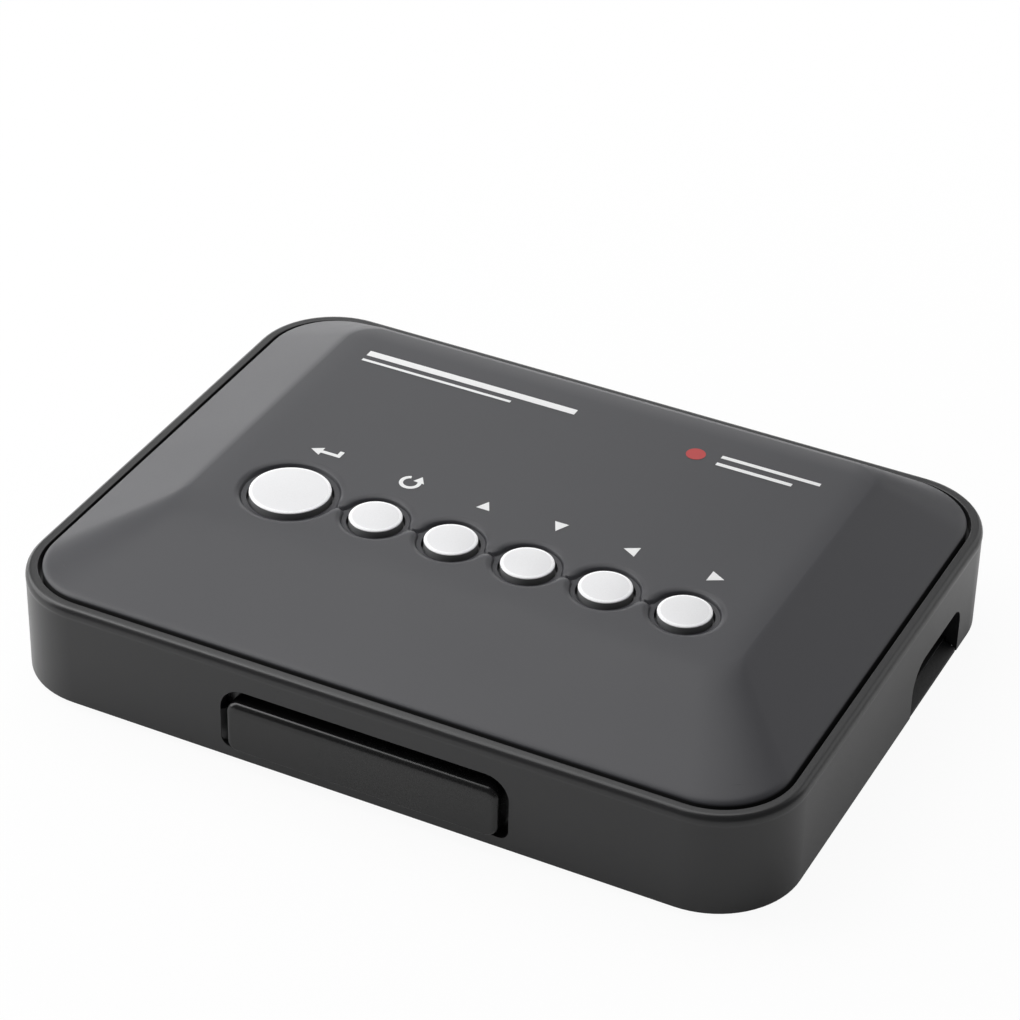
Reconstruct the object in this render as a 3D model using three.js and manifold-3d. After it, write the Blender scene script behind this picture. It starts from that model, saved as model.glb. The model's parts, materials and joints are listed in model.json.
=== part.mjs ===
// A small solid-state media player: a crowned cover set in a walled case, six sprung
// buttons in a chain of wells, a smoked front window and a port pocket in the right wall,
// with the boards, switches and sockets inside.
// Millimetres. +X is to the right, +Y to the rear and +Z up. Each piece is drawn from the
// middle of the body, on the surface that the feet stand on.
import * as THREE from 'three';
import { mergeVertices } from 'three/addons/utils/BufferGeometryUtils.js';
import Module from 'manifold-3d';

const wasm = await Module();
wasm.setup();

// Case
const bodyWidth = 130;
const bodyDepth = 96.8;
const cornerRadius = 14;
const footHeight = 1.2;
const rimHeight = 17.8; // underside of the base to the top of the rim
const crownHeight = 6.2; // rim to the flat top of the cover
const wallThickness = 2;
const rimRounding = 1.3;
const seatGap = 0.2; // between parts that rest on one another
const fitGap = 0.3; // between parts that slide past one another
const overrun = 1; // how far a cutting tool runs past a face

// Base plate
const skirtThickness = 0.9; // skin of the walls that runs down past the plate's edge
const skirtBevel = 0.2;
const baseEdgeThickness = 0.7;
const baseEdgeBevel = 0.3;
const floorThickness = 1.8;
const baseBossRadius = 3.7;
const baseBossHeight = 5;
const ventCount = 9;
const ventPitch = 6;
const ventWidth = 2;
const ventLength = 28;
const ventSetBack = 2; // their middle, behind the body's

// Shelf inside the walls that carries the cover
const grooveWidth = 0.65;
const grooveDepth = 2.2;
const shelfReach = 2.4;
const shelfThickness = 1.2;
const shelfUndercut = 0.2;

// Cover
const lipRise = 0.35; // straight side of the cover above the rim
const lipRounding = 0.5;
const lipThickness = 2;
const coverThickness = 2.2;
const frontSlopeWidth = 22.2;
const rearSlopeWidth = 7.8;
const plateauRadius = 5;
const creaseShare = 0.14; // rounded part of a slope, each side of its crease

// Case screws and their bosses
const caseScrewSideInset = 10.5;
const caseScrewEndInset = 10.5;
const coverBossRadius = 3.2;
const caseScrewRadius = 1.3;
const caseScrewLength = 11;
const caseScrewHeadRadius = 2.5;
const caseScrewHeadHeight = 1.8;
const caseScrewRecess = 3.2; // underside of the base to the screw's seat
const pilotClearance = 0.25;
const crossWidth = 0.7;
const crossDepth = 1;

// Feet
const footRadius = 5;
const footBevel = 0.4;
const footSideInset = 20;
const footEndInset = 14;

// Button row
const bigButtonRadius = 6.5;
const smallButtonRadius = 4.2;
const bigButtonPitch = 15.2;
const smallButtonPitch = 13.15;
const buttonRowX = -32.6; // the large button, from the middle
const buttonRowSetBack = 11.35; // behind the front edge of the plateau
const buttonRowEndMargin = 12.2; // last button to the side of the plateau
const buttonTravel = 0.5;
const capRise = 0.2; // edge of a cap above the plateau
const capDome = 0.2;
const capBevel = 0.45;
const capFlangeMargin = 0.9;
const capFlangeThickness = 0.8;
const capStemRadius = 2;
const capStemLength = 1.5;
const holeClearance = 0.25;
const wellMargin = 1.8; // well at the plateau, past the cap
const wellFloorMargin = 0.8;
const wellDepth = 1;
const neckWidth = 2.2;
const neckFloorWidth = 1;
const neckDepth = 0.7;

// Push switches on the key board
const switchWidth = 6;
const switchHeight = 3.5;
const switchEdge = 0.6;
const plungerRadius = 1.7;
const plungerRise = 1.5;
const plungerDepth = 1;
const plungerClearance = 0.15;

// Key board
const keyBoardThickness = 1.2;
const keyBoardDepth = 16.4;
const keyBoardLeftMargin = 13.4; // past the centre of the large button
const keyBoardRightMargin = 8; // past the centre of the last one
const keyBossRadius = 2.2;
const keyBossSetBack = 5.6; // behind the row
const keyBossAfter = [2, 4]; // buttons that have a boss on their right
const keyBossEndMargin = 10.2; // left of the large button
const keyScrewRadius = 0.85;
const keyScrewLength = 5;
const keyScrewHeadRadius = 1.7;
const keyScrewHeadHeight = 1.1;

// Main board
const boardThickness = 1.6;
const standoffHeight = 2;
const standoffRadius = 2.7;
const boardBossGap = 0.9; // board edge to the cover's bosses
const boardRearGap = 4.4; // board edge to the wall
const boardFrontGap = 3.6;
const boardScrewInset = 4.5;
const boardScrewRadius = 1.1;
const boardScrewEngagement = 2.4;
const boardScrewHeadRadius = 2.2;
const boardScrewHeadHeight = 1.6;
const earWallGap = 3;
const earMargin = 3; // board past a side socket, each way

// Port pocket in the right wall
const pocketWidth = 20.2;
const pocketTop = 9.3; // above the underside of the base
const pocketFrontRadius = 4.6;
const pocketRearRadius = 3;
const pocketDepth = 6.5;
const pocketWall = 1.2;
const pocketEndWall = 1;
const rampRun = 3.2;

// Socket for a plug in the port pocket
const usbWidth = 13.2;
const usbHeight = 5.7;
const usbLength = 14;
const usbShellWall = 0.4;
const usbRise = 2.2; // underside of the base to the shell
const usbTongueSideGap = 1.3; // tongue to the outside of the shell
const usbTongueThickness = 1.9;
const usbTongueLength = 9;
const usbBlockLength = 3.4;
const portClearance = 0.4; // wall opening round a socket

// Memory card socket at the left
const cardSocketWidth = 26;
const cardSocketLength = 28;
const cardSocketHeight = 2.9;
const cardMouthMargin = 0.8; // socket past its mouth, each way
const cardMouthHeight = 1.5;
const cardMouthDepth = 20;

// Rear sockets
const hdmiWidth = 15;
const hdmiHeight = 5.6;
const hdmiLength = 12;
const hdmiChamfer = 1.6;
const hdmiWall = 0.4;
const hdmiTongueSideGap = 1.8;
const hdmiTongueThickness = 1.1;
const hdmiTongueLength = 7;
const hdmiBlockLength = 2.4;
const hdmiJackPitch = 25; // to the audio and video jack
const rearRecess = 0.5; // socket faces behind the outer wall
const avWidth = 7.4;
const avHeight = 6.4;
const avLength = 12;
const avBore = 1.8;
const avCollar = 3;
const avJackPitch = 23; // to the power jack
const dcWidth = 9;
const dcHeight = 8.4;
const dcLength = 13;
const dcBore = 2.9;
const dcCollar = 3.8;
const dcPin = 1;
const dcEdgeGap = 7.9; // to the board's right edge, past its screw
const jackWallClearance = 0.3;
const jackBoreDepth = 9;

// Front window
const slotWidth = 48.8;
const slotBottom = 2; // above the underside of the base
const slotTop = 12.9;
const slotTopRadius = 4;
const slotBottomRadius = 1.6;
const lensSideGap = 1.5;
const lensTopGap = 2.4;
const lensBottomGap = 0.4;
const lensStandOut = 1;
const lensBevel = 0.9;
const lensFlangeMargin = 2;
const lensFlangeTopMargin = 0.9;
const lensFlangeThickness = 1.2;

// Parts on the main board
const processorWidth = 17;
const processorHeight = 1.2;
const heatSinkWidth = 22;
const heatSinkSideGap = 5; // to the memory chips
const heatSinkBase = 1.5;
const heatSinkHeight = 4.8;
const finCount = 7;
const finThickness = 1;
const memoryWidth = 10;
const memoryDepth = 12.5;
const memoryHeight = 1.1;
const memorySideGap = 1.4; // to the ribbon's connector
const flashWidth = 5.2;
const flashDepth = 6;
const flashHeight = 1.8;
const chipEdge = 0.25;
const crystalLength = 11;
const crystalWidth = 4.6;
const crystalHeight = 3.6;
const crystalBase = 0.5;
const crystalFlange = 0.4;
const capacitorRadius = 3.15;
const capacitorHeight = 7;
const capacitorGroove = 0.35;
const capacitorBase = 1.6;
const capacitorPitch = 9.1;
const inductorWidth = 7;
const inductorHeight = 3.4;
const inductorCoilRadius = 2.9;
const inductorRim = 0.8;
const inductorSideGap = 4.8; // to the power jack
const receiverWidth = 6;
const receiverDepth = 5;
const receiverHeight = 6.8;
const receiverDomeRadius = 2;
const receiverWindowGap = 0.5;
const lampRadius = 1.5;
const lampLength = 5.2;
const lampFlange = 0.4;
const lampFlangeLength = 1;
const lampMountWidth = 3.4;
const lampWindowGap = 0.7;

// Ribbon between the boards
const ribbonWidth = 9;
const ribbonThickness = 0.4;
const ribbonBend = 2.4;
const ribbonReach = 2; // level run out of the key board's connector
const plugLength = 11;
const plugSideGap = 1.3; // to the card socket
const plugWidth = 4;
const keyPlugHeight = 2.5;
const mainPlugHeight = 3.2;

// Places from front to rear, as shares of the body's half depth
const pocketPlaceShare = 0.4;
const cardPlaceShare = 0.2;

// Places on the main board, as shares of its half width or half depth
const processorPlaceShare = 0.2;
const memoryPlaceShares = [0.03, 0.4];
const capacitorPlaceShare = 0.56;
const inductorPlaceShare = 0.78;
const flashPlaceShares = [0.2, -0.5];
const crystalPlaceShares = [0.5, -0.36];
const receiverPlaceShare = -0.24;
const lampPlaceShare = 0.36;

// Facets
const cornerSteps = 7;
const smallCornerSteps = 2;
const roundSteps = 24;
const smallRoundSteps = 12;
const screwSteps = 10;
const rimSteps = 3;
const crystalSteps = 4;
const creaseSteps = 4;
const halfTurn = Math.PI;
const quarterTurn = Math.PI / 2;

// Levels and faces that several parts share
const baseBottom = footHeight;
const baseEdgeTop = baseBottom + baseEdgeThickness;
const wallBottom = baseEdgeTop + seatGap;
const floorTop = baseBottom + floorThickness;
const rimTop = baseBottom + rimHeight;
const shelfTop = rimTop - grooveDepth;
const lipBottom = shelfTop + seatGap;
const plateau = rimTop + crownHeight;
const coverUnderside = plateau - coverThickness;
const halfWidth = bodyWidth / 2;
const halfDepth = bodyDepth / 2;
const innerHalfWidth = halfWidth - wallThickness;
const innerHalfDepth = halfDepth - wallThickness;
const coverInset = wallThickness + grooveWidth;

const caseScrewX = halfWidth - caseScrewSideInset;
const caseScrewY = halfDepth - caseScrewEndInset;
const caseScrewSeat = baseBottom + caseScrewRecess;
const baseBossTop = floorTop + baseBossHeight;

const boardBottom = floorTop + standoffHeight;
const boardTop = boardBottom + boardThickness;
const boardHalfWidth = caseScrewX - coverBossRadius - boardBossGap;
const boardRear = innerHalfDepth - boardRearGap;
const boardFront = boardFrontGap - innerHalfDepth;
const boardHalfDepth = (boardRear - boardFront) / 2;
const boardCentreY = (boardRear + boardFront) / 2;

const capFlangeTop = coverUnderside - seatGap;
const capFoot = capFlangeTop - capFlangeThickness - capStemLength;
const plungerTop = capFoot - seatGap;
const keyBoardTop = plungerTop - plungerRise - switchHeight;
const keyBoardBottom = keyBoardTop - keyBoardThickness;

const buttonRowY = coverInset - halfDepth + frontSlopeWidth + buttonRowSetBack;
const pocketCentreY = pocketPlaceShare * halfDepth;
const pocketEnd = halfWidth - pocketDepth;
const pocketInside = pocketEnd - pocketEndWall;
const pocketRoof = baseBottom + pocketTop;
const usbBottom = baseBottom + usbRise;
const cardCentreY = cardPlaceShare * halfDepth;
const cardMouth = seatGap - innerHalfWidth;
const cardMouthWidth = cardSocketWidth - 2 * cardMouthMargin;

const slotFloor = baseBottom + slotBottom;
const slotRoof = baseBottom + slotTop;
const windowBack = seatGap + lensFlangeThickness - innerHalfDepth;

// Along the main board, from the right edge and from the card socket
const dcX = boardHalfWidth - dcEdgeGap - dcWidth / 2;
const avX = dcX - avJackPitch;
const hdmiX = avX - hdmiJackPitch;
const inductorX = dcX - dcWidth / 2 - inductorSideGap - inductorWidth / 2;
const ribbonX = cardMouth + cardSocketLength + plugSideGap + plugLength / 2;
const memoryX = ribbonX + plugLength / 2 + memorySideGap + memoryWidth / 2;
const processorX = memoryX + memoryWidth / 2 + heatSinkSideGap + heatSinkWidth / 2;

// The six buttons, left to right
const buttonNames = ['enter', 'menu', 'up', 'down', 'left', 'right'];
const buttons = buttonNames.map((name, index) => ({
  name,
  radius: index === 0 ? bigButtonRadius : smallButtonRadius,
  x: buttonRowX + (index === 0 ? 0 : bigButtonPitch + (index - 1) * smallButtonPitch),
}));
const lastButton = buttons[buttons.length - 1];
const plateauHalfWidth = lastButton.x + buttonRowEndMargin;
const sideSlopeWidth = halfWidth - coverInset - plateauHalfWidth;

// Solids

function solidOf(geometry) {
  const bare = geometry.clone();
  bare.deleteAttribute('normal');
  bare.deleteAttribute('uv');
  const merged = mergeVertices(bare);
  return new wasm.Manifold(new wasm.Mesh({
    numProp: 3,
    vertProperties: new Float32Array(merged.attributes.position.array),
    triVerts: new Uint32Array(merged.index.array),
  }));
}

function geometryOf(solid) {
  const mesh = solid.getMesh();
  const geometry = new THREE.BufferGeometry();
  geometry.setAttribute('position', new THREE.BufferAttribute(mesh.vertProperties, 3));
  geometry.setIndex(new THREE.BufferAttribute(mesh.triVerts, 1));
  geometry.computeVertexNormals();
  return geometry;
}

function joined(first, ...others) {
  return others.reduce((whole, other) => whole.add(other), first);
}

function cut(first, ...others) {
  return others.reduce((whole, other) => whole.subtract(other), first);
}

// Points of a rectangle with rounded corners, anticlockwise from its right-hand side.
function roundedOutline(halfX, halfY, radius, steps = smallCornerSteps) {
  const corners = [[1, 1], [-1, 1], [-1, -1], [1, -1]];
  return corners.flatMap(([signX, signY], quarter) => {
    const points = [];
    for (let step = 0; step <= steps; step += 1) {
      const angle = (quarter + step / steps) * quarterTurn;
      points.push(new THREE.Vector2(
        signX * (halfX - radius) + radius * Math.cos(angle),
        signY * (halfY - radius) + radius * Math.sin(angle),
      ));
    }
    return points;
  });
}

// The body's outline in plan, drawn in by an inset.
function bodyOutline(inset) {
  return roundedOutline(halfWidth - inset, halfDepth - inset, cornerRadius - inset, cornerSteps);
}

// A skin through rings of points at rising levels. A closed one joins its last ring to its
// first, and an open one has flat ends.
function loft(rings, closed = false) {
  const count = rings[0].points.length;
  const positions = rings.flatMap(({ points, level }) => points.flatMap((p) => [p.x, p.y, level]));
  const faces = [];
  const spans = closed ? rings.length : rings.length - 1;
  for (let ring = 0; ring < spans; ring += 1) {
    const lower = ring * count;
    const upper = ((ring + 1) % rings.length) * count;
    for (let k = 0; k < count; k += 1) {
      const next = (k + 1) % count;
      faces.push(lower + k, lower + next, upper + next, lower + k, upper + next, upper + k);
    }
  }
  if (!closed) {
    const top = (rings.length - 1) * count;
    for (let k = 1; k < count - 1; k += 1) {
      faces.push(0, k + 1, k);
      faces.push(top, top + k, top + k + 1);
    }
  }
  const geometry = new THREE.BufferGeometry();
  geometry.setAttribute('position', new THREE.Float32BufferAttribute(positions, 3));
  geometry.setIndex(faces);
  return geometry;
}

// An outline drawn across an axis and run along it. On x the outline's axes are y and z,
// on y they are x and z, and on z they are x and y.
function prism(axis, shape, from, to, steps = cornerSteps) {
  const geometry = new THREE.ExtrudeGeometry(shape, {
    depth: to - from,
    bevelEnabled: false,
    curveSegments: steps,
  });
  const x = new THREE.Vector3(1, 0, 0);
  const y = new THREE.Vector3(0, 1, 0);
  const z = new THREE.Vector3(0, 0, 1);
  const turn = new THREE.Matrix4();
  if (axis === 'x') {
    turn.makeBasis(y, z, x).setPosition(from, 0, 0);
  } else if (axis === 'y') {
    turn.makeBasis(x, z, y.clone().negate()).setPosition(0, to, 0);
  } else {
    turn.setPosition(0, 0, from);
  }
  return geometry.applyMatrix4(turn);
}

function box(fromX, toX, fromY, toY, fromZ, toZ) {
  const geometry = new THREE.BoxGeometry(toX - fromX, toY - fromY, toZ - fromZ);
  return geometry.translate((fromX + toX) / 2, (fromY + toY) / 2, (fromZ + toZ) / 2);
}

// A round post or cone between two levels.
function post(x, y, fromZ, toZ, radius, steps = smallRoundSteps, topRadius = radius) {
  const geometry = new THREE.CylinderGeometry(topRadius, radius, toZ - fromZ, steps);
  return geometry.rotateX(quarterTurn).translate(x, y, (fromZ + toZ) / 2);
}

// A turned part from [radius, level] pairs, on the +Z axis.
function turned(profile, steps) {
  const points = profile.map(([radius, level]) => new THREE.Vector2(radius, level));
  return new THREE.LatheGeometry(points, steps).rotateX(quarterTurn);
}

function shapeOf(points) {
  return new THREE.Shape(points.map(([x, y]) => new THREE.Vector2(x, y)));
}

// A rectangle whose upper and lower corners have their own radii.
function windowShape(halfX, bottom, top, topRadius, bottomRadius) {
  const shape = new THREE.Shape();
  shape.moveTo(-halfX + bottomRadius, bottom);
  shape.lineTo(halfX - bottomRadius, bottom);
  shape.absarc(halfX - bottomRadius, bottom + bottomRadius, bottomRadius, -quarterTurn, 0);
  shape.lineTo(halfX, top - topRadius);
  shape.absarc(halfX - topRadius, top - topRadius, topRadius, 0, quarterTurn);
  shape.lineTo(-halfX + topRadius, top);
  shape.absarc(-halfX + topRadius, top - topRadius, topRadius, quarterTurn, halfTurn);
  shape.lineTo(-halfX, bottom + bottomRadius);
  shape.absarc(-halfX + bottomRadius, bottom + bottomRadius, bottomRadius, halfTurn, halfTurn + quarterTurn);
  return shape;
}

// Materials

function finish(color, roughness, metalness = 0) {
  return new THREE.MeshStandardMaterial({ color, roughness, metalness });
}

const casePlastic = finish(0x3a3a3d, 0.5);
const coverPlastic = finish(0x4b4b4f, 0.42);
const basePlastic = finish(0x2c2c2e, 0.6);
const smokedPlastic = finish(0x1a1a1d, 0.12);
const buttonPaint = finish(0xe4e5e6, 0.35, 0.1);
const footRubber = finish(0x1c1c1c, 0.9);
const screwSteel = finish(0x9a9a98, 0.35, 1);
const boardLaminate = finish(0x1d5a34, 0.55);
const plugSteel = finish(0xb9bbbd, 0.3, 1);
const blackNylon = finish(0x161616, 0.55);
const chipEpoxy = finish(0x1b1b1d, 0.5);
const sinkAluminium = finish(0xa4a8ab, 0.4, 1);
const coilSleeve = finish(0x25272b, 0.5);
const lampEpoxy = finish(0xd9e6ea, 0.1);
const ribbonFilm = finish(0xd7d2c4, 0.6);
const plugNylon = finish(0xe9e4d6, 0.5);

function part(name, geometry, material, x = 0, y = 0, z = 0) {
  const mesh = new THREE.Mesh(geometry, material.clone());
  mesh.name = name;
  mesh.position.set(x, y, z);
  return mesh;
}

// Places of the screws

function cornerPlaces(x, y) {
  return [[-x, -y], [x, -y], [-x, y], [x, y]];
}

function boardScrewPlaces() {
  const x = boardHalfWidth - boardScrewInset;
  return [
    [-x, boardFront + boardScrewInset],
    [x, boardFront + boardScrewInset],
    [-x, boardRear - boardScrewInset],
    [x, boardRear - boardScrewInset],
  ];
}

function keyScrewPlaces() {
  const between = keyBossAfter.map((index) => (buttons[index].x + buttons[index + 1].x) / 2);
  return [
    [buttonRowX - keyBossEndMargin, buttonRowY],
    ...between.map((x) => [x, buttonRowY + keyBossSetBack]),
  ];
}

// Base plate

// The opening in the right wall, drawn in Y and Z, and grown by a margin.
function pocketShape(bottom, margin) {
  const front = pocketCentreY - pocketWidth / 2 - margin;
  const rear = pocketCentreY + pocketWidth / 2 + margin;
  const top = pocketRoof + margin;
  const frontRadius = pocketFrontRadius + margin;
  const rearRadius = pocketRearRadius + margin;
  const shape = new THREE.Shape();
  shape.moveTo(front, bottom);
  shape.lineTo(rear, bottom);
  shape.lineTo(rear, top - rearRadius);
  shape.absarc(rear - rearRadius, top - rearRadius, rearRadius, 0, quarterTurn);
  shape.lineTo(front + frontRadius, top);
  shape.absarc(front + frontRadius, top - frontRadius, frontRadius, quarterTurn, halfTurn);
  return shape;
}

function basePlate() {
  const padInset = wallThickness + fitGap;
  const edgeInset = skirtThickness + seatGap;
  const edge = solidOf(loft([
    { points: bodyOutline(edgeInset + baseEdgeBevel), level: baseBottom },
    { points: bodyOutline(edgeInset), level: baseBottom + baseEdgeBevel },
    { points: bodyOutline(edgeInset), level: baseEdgeTop },
  ]));
  const pad = solidOf(loft([
    { points: bodyOutline(padInset), level: baseBottom + baseEdgeBevel },
    { points: bodyOutline(padInset), level: floorTop },
  ]));
  // The floor of the port pocket rises from the outer face to the pad.
  const rampOuter = halfWidth - seatGap;
  const ramp = solidOf(prism('y', shapeOf([
    [rampOuter - rampRun, baseBottom],
    [rampOuter, baseBottom],
    [rampOuter, baseEdgeTop],
    [rampOuter - rampRun, floorTop],
  ]), pocketCentreY - pocketWidth / 2 + fitGap, pocketCentreY + pocketWidth / 2 - fitGap));
  const screwPlaces = cornerPlaces(caseScrewX, caseScrewY);
  const bosses = screwPlaces.map(([x, y]) => solidOf(
    post(x, y, baseBottom + baseEdgeBevel, baseBossTop, baseBossRadius, smallRoundSteps),
  ));
  const standoffs = boardScrewPlaces().map(([x, y]) => solidOf(
    post(x, y, baseBottom + baseEdgeBevel, boardBottom, standoffRadius),
  ));
  const counterbores = screwPlaces.map(([x, y]) => solidOf(
    post(x, y, baseBottom - overrun, caseScrewSeat, caseScrewHeadRadius + fitGap, roundSteps),
  ));
  const screwHoles = screwPlaces.map(([x, y]) => solidOf(
    post(x, y, baseBottom, baseBossTop + overrun, caseScrewRadius + fitGap),
  ));
  const boardPilots = boardScrewPlaces().map(([x, y]) => solidOf(
    post(x, y, boardBottom - boardScrewEngagement - fitGap, boardBottom + overrun,
      boardScrewRadius + pilotClearance),
  ));
  const vents = [];
  const slot = roundedOutline(ventWidth / 2, ventLength / 2, ventWidth / 2);
  for (let k = 0; k < ventCount; k += 1) {
    const x = (k - (ventCount - 1) / 2) * ventPitch;
    vents.push(solidOf(loft([
      { points: slot, level: baseBottom - overrun },
      { points: slot, level: floorTop + overrun },
    ]).translate(x, ventSetBack, 0)));
  }
  const plate = joined(edge, pad, ramp, ...bosses, ...standoffs);
  return cut(plate, ...counterbores, ...screwHoles, ...boardPilots, ...vents);
}

// Case body

function caseWalls() {
  const rings = [
    { points: bodyOutline(skirtBevel), level: baseBottom },
    { points: bodyOutline(0), level: baseBottom + skirtBevel },
    { points: bodyOutline(0), level: rimTop - rimRounding },
  ];
  for (let step = 1; step <= rimSteps; step += 1) {
    const angle = (step / rimSteps) * quarterTurn;
    rings.push({
      points: bodyOutline(rimRounding * (1 - Math.cos(angle))),
      level: rimTop - rimRounding * (1 - Math.sin(angle)),
    });
  }
  const shelfInset = wallThickness + shelfReach;
  const shelfBottom = shelfTop - shelfThickness;
  rings.push(
    { points: bodyOutline(wallThickness), level: rimTop },
    { points: bodyOutline(wallThickness), level: shelfTop },
    { points: bodyOutline(shelfInset), level: shelfTop },
    { points: bodyOutline(shelfInset), level: shelfBottom },
    { points: bodyOutline(wallThickness), level: shelfBottom - shelfUndercut },
    { points: bodyOutline(wallThickness), level: wallBottom },
    { points: bodyOutline(skirtThickness), level: wallBottom },
    { points: bodyOutline(skirtThickness), level: baseBottom },
  );
  return solidOf(loft(rings, true));
}

function caseBody() {
  const hoodBottom = floorTop + fitGap;
  const hood = cut(
    solidOf(prism('x', pocketShape(hoodBottom, pocketWall), pocketInside, halfWidth - wallThickness / 2)),
    solidOf(prism('x', pocketShape(hoodBottom - overrun, 0), pocketEnd, halfWidth)),
  );
  const pocketMouth = solidOf(prism('x', pocketShape(baseBottom - overrun, 0),
    halfWidth - wallThickness - shelfUndercut, halfWidth + overrun));
  const usbHole = solidOf(box(pocketInside - overrun, pocketEnd + overrun,
    pocketCentreY - usbWidth / 2 - portClearance, pocketCentreY + usbWidth / 2 + portClearance,
    usbBottom - portClearance, usbBottom + usbHeight + portClearance));
  const slotShape = windowShape(slotWidth / 2, slotFloor, slotRoof, slotTopRadius, slotBottomRadius);
  const slot = solidOf(prism('y', slotShape, -halfDepth - overrun, -innerHalfDepth + overrun));
  const rearCut = (x, level, radius) => solidOf(new THREE.CylinderGeometry(
    radius, radius, wallThickness + overrun, roundSteps,
  ).translate(x, halfDepth - wallThickness / 2, level));
  const hdmiHole = solidOf(box(hdmiX - hdmiWidth / 2 - portClearance, hdmiX + hdmiWidth / 2 + portClearance,
    innerHalfDepth - overrun, halfDepth + overrun,
    boardTop - portClearance, boardTop + hdmiHeight + portClearance));
  const avHole = rearCut(avX, boardTop + avHeight / 2, avCollar + jackWallClearance);
  const dcHole = rearCut(dcX, boardTop + dcHeight / 2, dcCollar + jackWallClearance);
  const cardHole = solidOf(box(-halfWidth - overrun, -innerHalfWidth + overrun,
    cardCentreY - cardMouthWidth / 2 - portClearance, cardCentreY + cardMouthWidth / 2 + portClearance,
    boardTop, boardTop + cardSocketHeight));
  return cut(joined(caseWalls(), hood), pocketMouth, usbHole, slot, hdmiHole, avHole, dcHole, cardHole);
}

// Cover

// The crown's outline at a share of the way up its slopes. Past 1 it lies on the plateau.
function crownOutline(share) {
  const mix = THREE.MathUtils.lerp;
  const edgeHalfY = halfDepth - coverInset;
  const plateauHalfY = edgeHalfY - (frontSlopeWidth + rearSlopeWidth) / 2;
  const plateauCentreY = (frontSlopeWidth - rearSlopeWidth) / 2;
  const centreY = mix(0, plateauCentreY, share);
  return roundedOutline(
    mix(halfWidth - coverInset, plateauHalfWidth, share),
    mix(edgeHalfY, plateauHalfY, share),
    mix(cornerRadius - coverInset, plateauRadius, share),
    cornerSteps,
  ).map(({ x, y }) => new THREE.Vector2(x, y + centreY));
}

function coverOutside() {
  const lipTop = rimTop + lipRise;
  const crownFoot = lipTop + lipRounding / 2;
  const rings = [
    { points: bodyOutline(coverInset), level: lipBottom },
    { points: bodyOutline(coverInset), level: lipTop - lipRounding / 2 },
    { points: bodyOutline(coverInset + lipRounding / 4), level: lipTop },
  ];
  const footShare = lipRounding / sideSlopeWidth;
  rings.push({ points: crownOutline(footShare), level: crownFoot });
  const from = 1 - creaseShare;
  for (let step = 0; step <= creaseSteps; step += 1) {
    const share = from + (2 * creaseShare * step) / creaseSteps;
    const height = share - (share - from) ** 2 / (4 * creaseShare);
    rings.push({ points: crownOutline(share), level: crownFoot + (plateau - crownFoot) * height });
  }
  return solidOf(loft(rings));
}

function coverInside() {
  const lipInset = coverInset + lipThickness;
  const lipTop = rimTop + lipRise - coverThickness / 2;
  return solidOf(loft([
    { points: bodyOutline(lipInset), level: lipBottom - overrun },
    { points: bodyOutline(lipInset), level: lipTop },
    { points: crownOutline(1), level: coverUnderside },
  ]));
}

function buttonWells() {
  const tools = buttons.map(({ x, radius }) => solidOf(post(
    x, buttonRowY, plateau - wellDepth, plateau + wellDepth,
    radius + wellFloorMargin, roundSteps, radius + 2 * wellMargin - wellFloorMargin,
  )));
  const neckSpread = neckWidth - neckFloorWidth;
  for (let k = 1; k < buttons.length; k += 1) {
    tools.push(solidOf(prism('x', shapeOf([
      [buttonRowY - neckFloorWidth / 2, plateau - neckDepth],
      [buttonRowY + neckFloorWidth / 2, plateau - neckDepth],
      [buttonRowY + neckWidth / 2 + neckSpread / 2, plateau + neckDepth],
      [buttonRowY - neckWidth / 2 - neckSpread / 2, plateau + neckDepth],
    ]), buttons[k - 1].x, buttons[k].x)));
  }
  return tools;
}

function topCover() {
  const outside = coverOutside();
  const shell = outside.subtract(coverInside());
  const caseBosses = cornerPlaces(caseScrewX, caseScrewY).map(([x, y]) => {
    const boss = (from, to) => solidOf(post(x, y, from, to, coverBossRadius));
    return boss(lipBottom, plateau).intersect(outside).add(boss(baseBossTop + seatGap, lipBottom + overrun));
  });
  const keyBosses = keyScrewPlaces().map(([x, y]) => solidOf(
    post(x, y, keyBoardTop, plateau - coverThickness / 2, keyBossRadius),
  ));
  const casePilots = cornerPlaces(caseScrewX, caseScrewY).map(([x, y]) => solidOf(
    post(x, y, baseBossTop - overrun, caseScrewSeat + caseScrewLength + fitGap,
      caseScrewRadius + pilotClearance),
  ));
  const keyPilots = keyScrewPlaces().map(([x, y]) => solidOf(
    post(x, y, keyBoardTop - overrun, keyBoardBottom + keyScrewLength + fitGap,
      keyScrewRadius + pilotClearance),
  ));
  const holes = buttons.map(({ x, radius }) => solidOf(
    post(x, buttonRowY, coverUnderside - overrun, plateau + overrun, radius + holeClearance, roundSteps),
  ));
  const body = joined(cut(shell, ...buttonWells(), ...holes), ...caseBosses, ...keyBosses);
  return cut(body, ...casePilots, ...keyPilots);
}

// Buttons, switches and plungers

function buttonCap(radius) {
  const edgeTop = plateau + capRise;
  return turned([
    [0, capFoot],
    [capStemRadius, capFoot],
    [capStemRadius, capFlangeTop - capFlangeThickness],
    [radius + capFlangeMargin, capFlangeTop - capFlangeThickness],
    [radius + capFlangeMargin, capFlangeTop],
    [radius, capFlangeTop],
    [radius, edgeTop - capBevel / 2],
    [radius - capBevel, edgeTop],
    [0, edgeTop + capDome],
  ], roundSteps);
}

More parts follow.
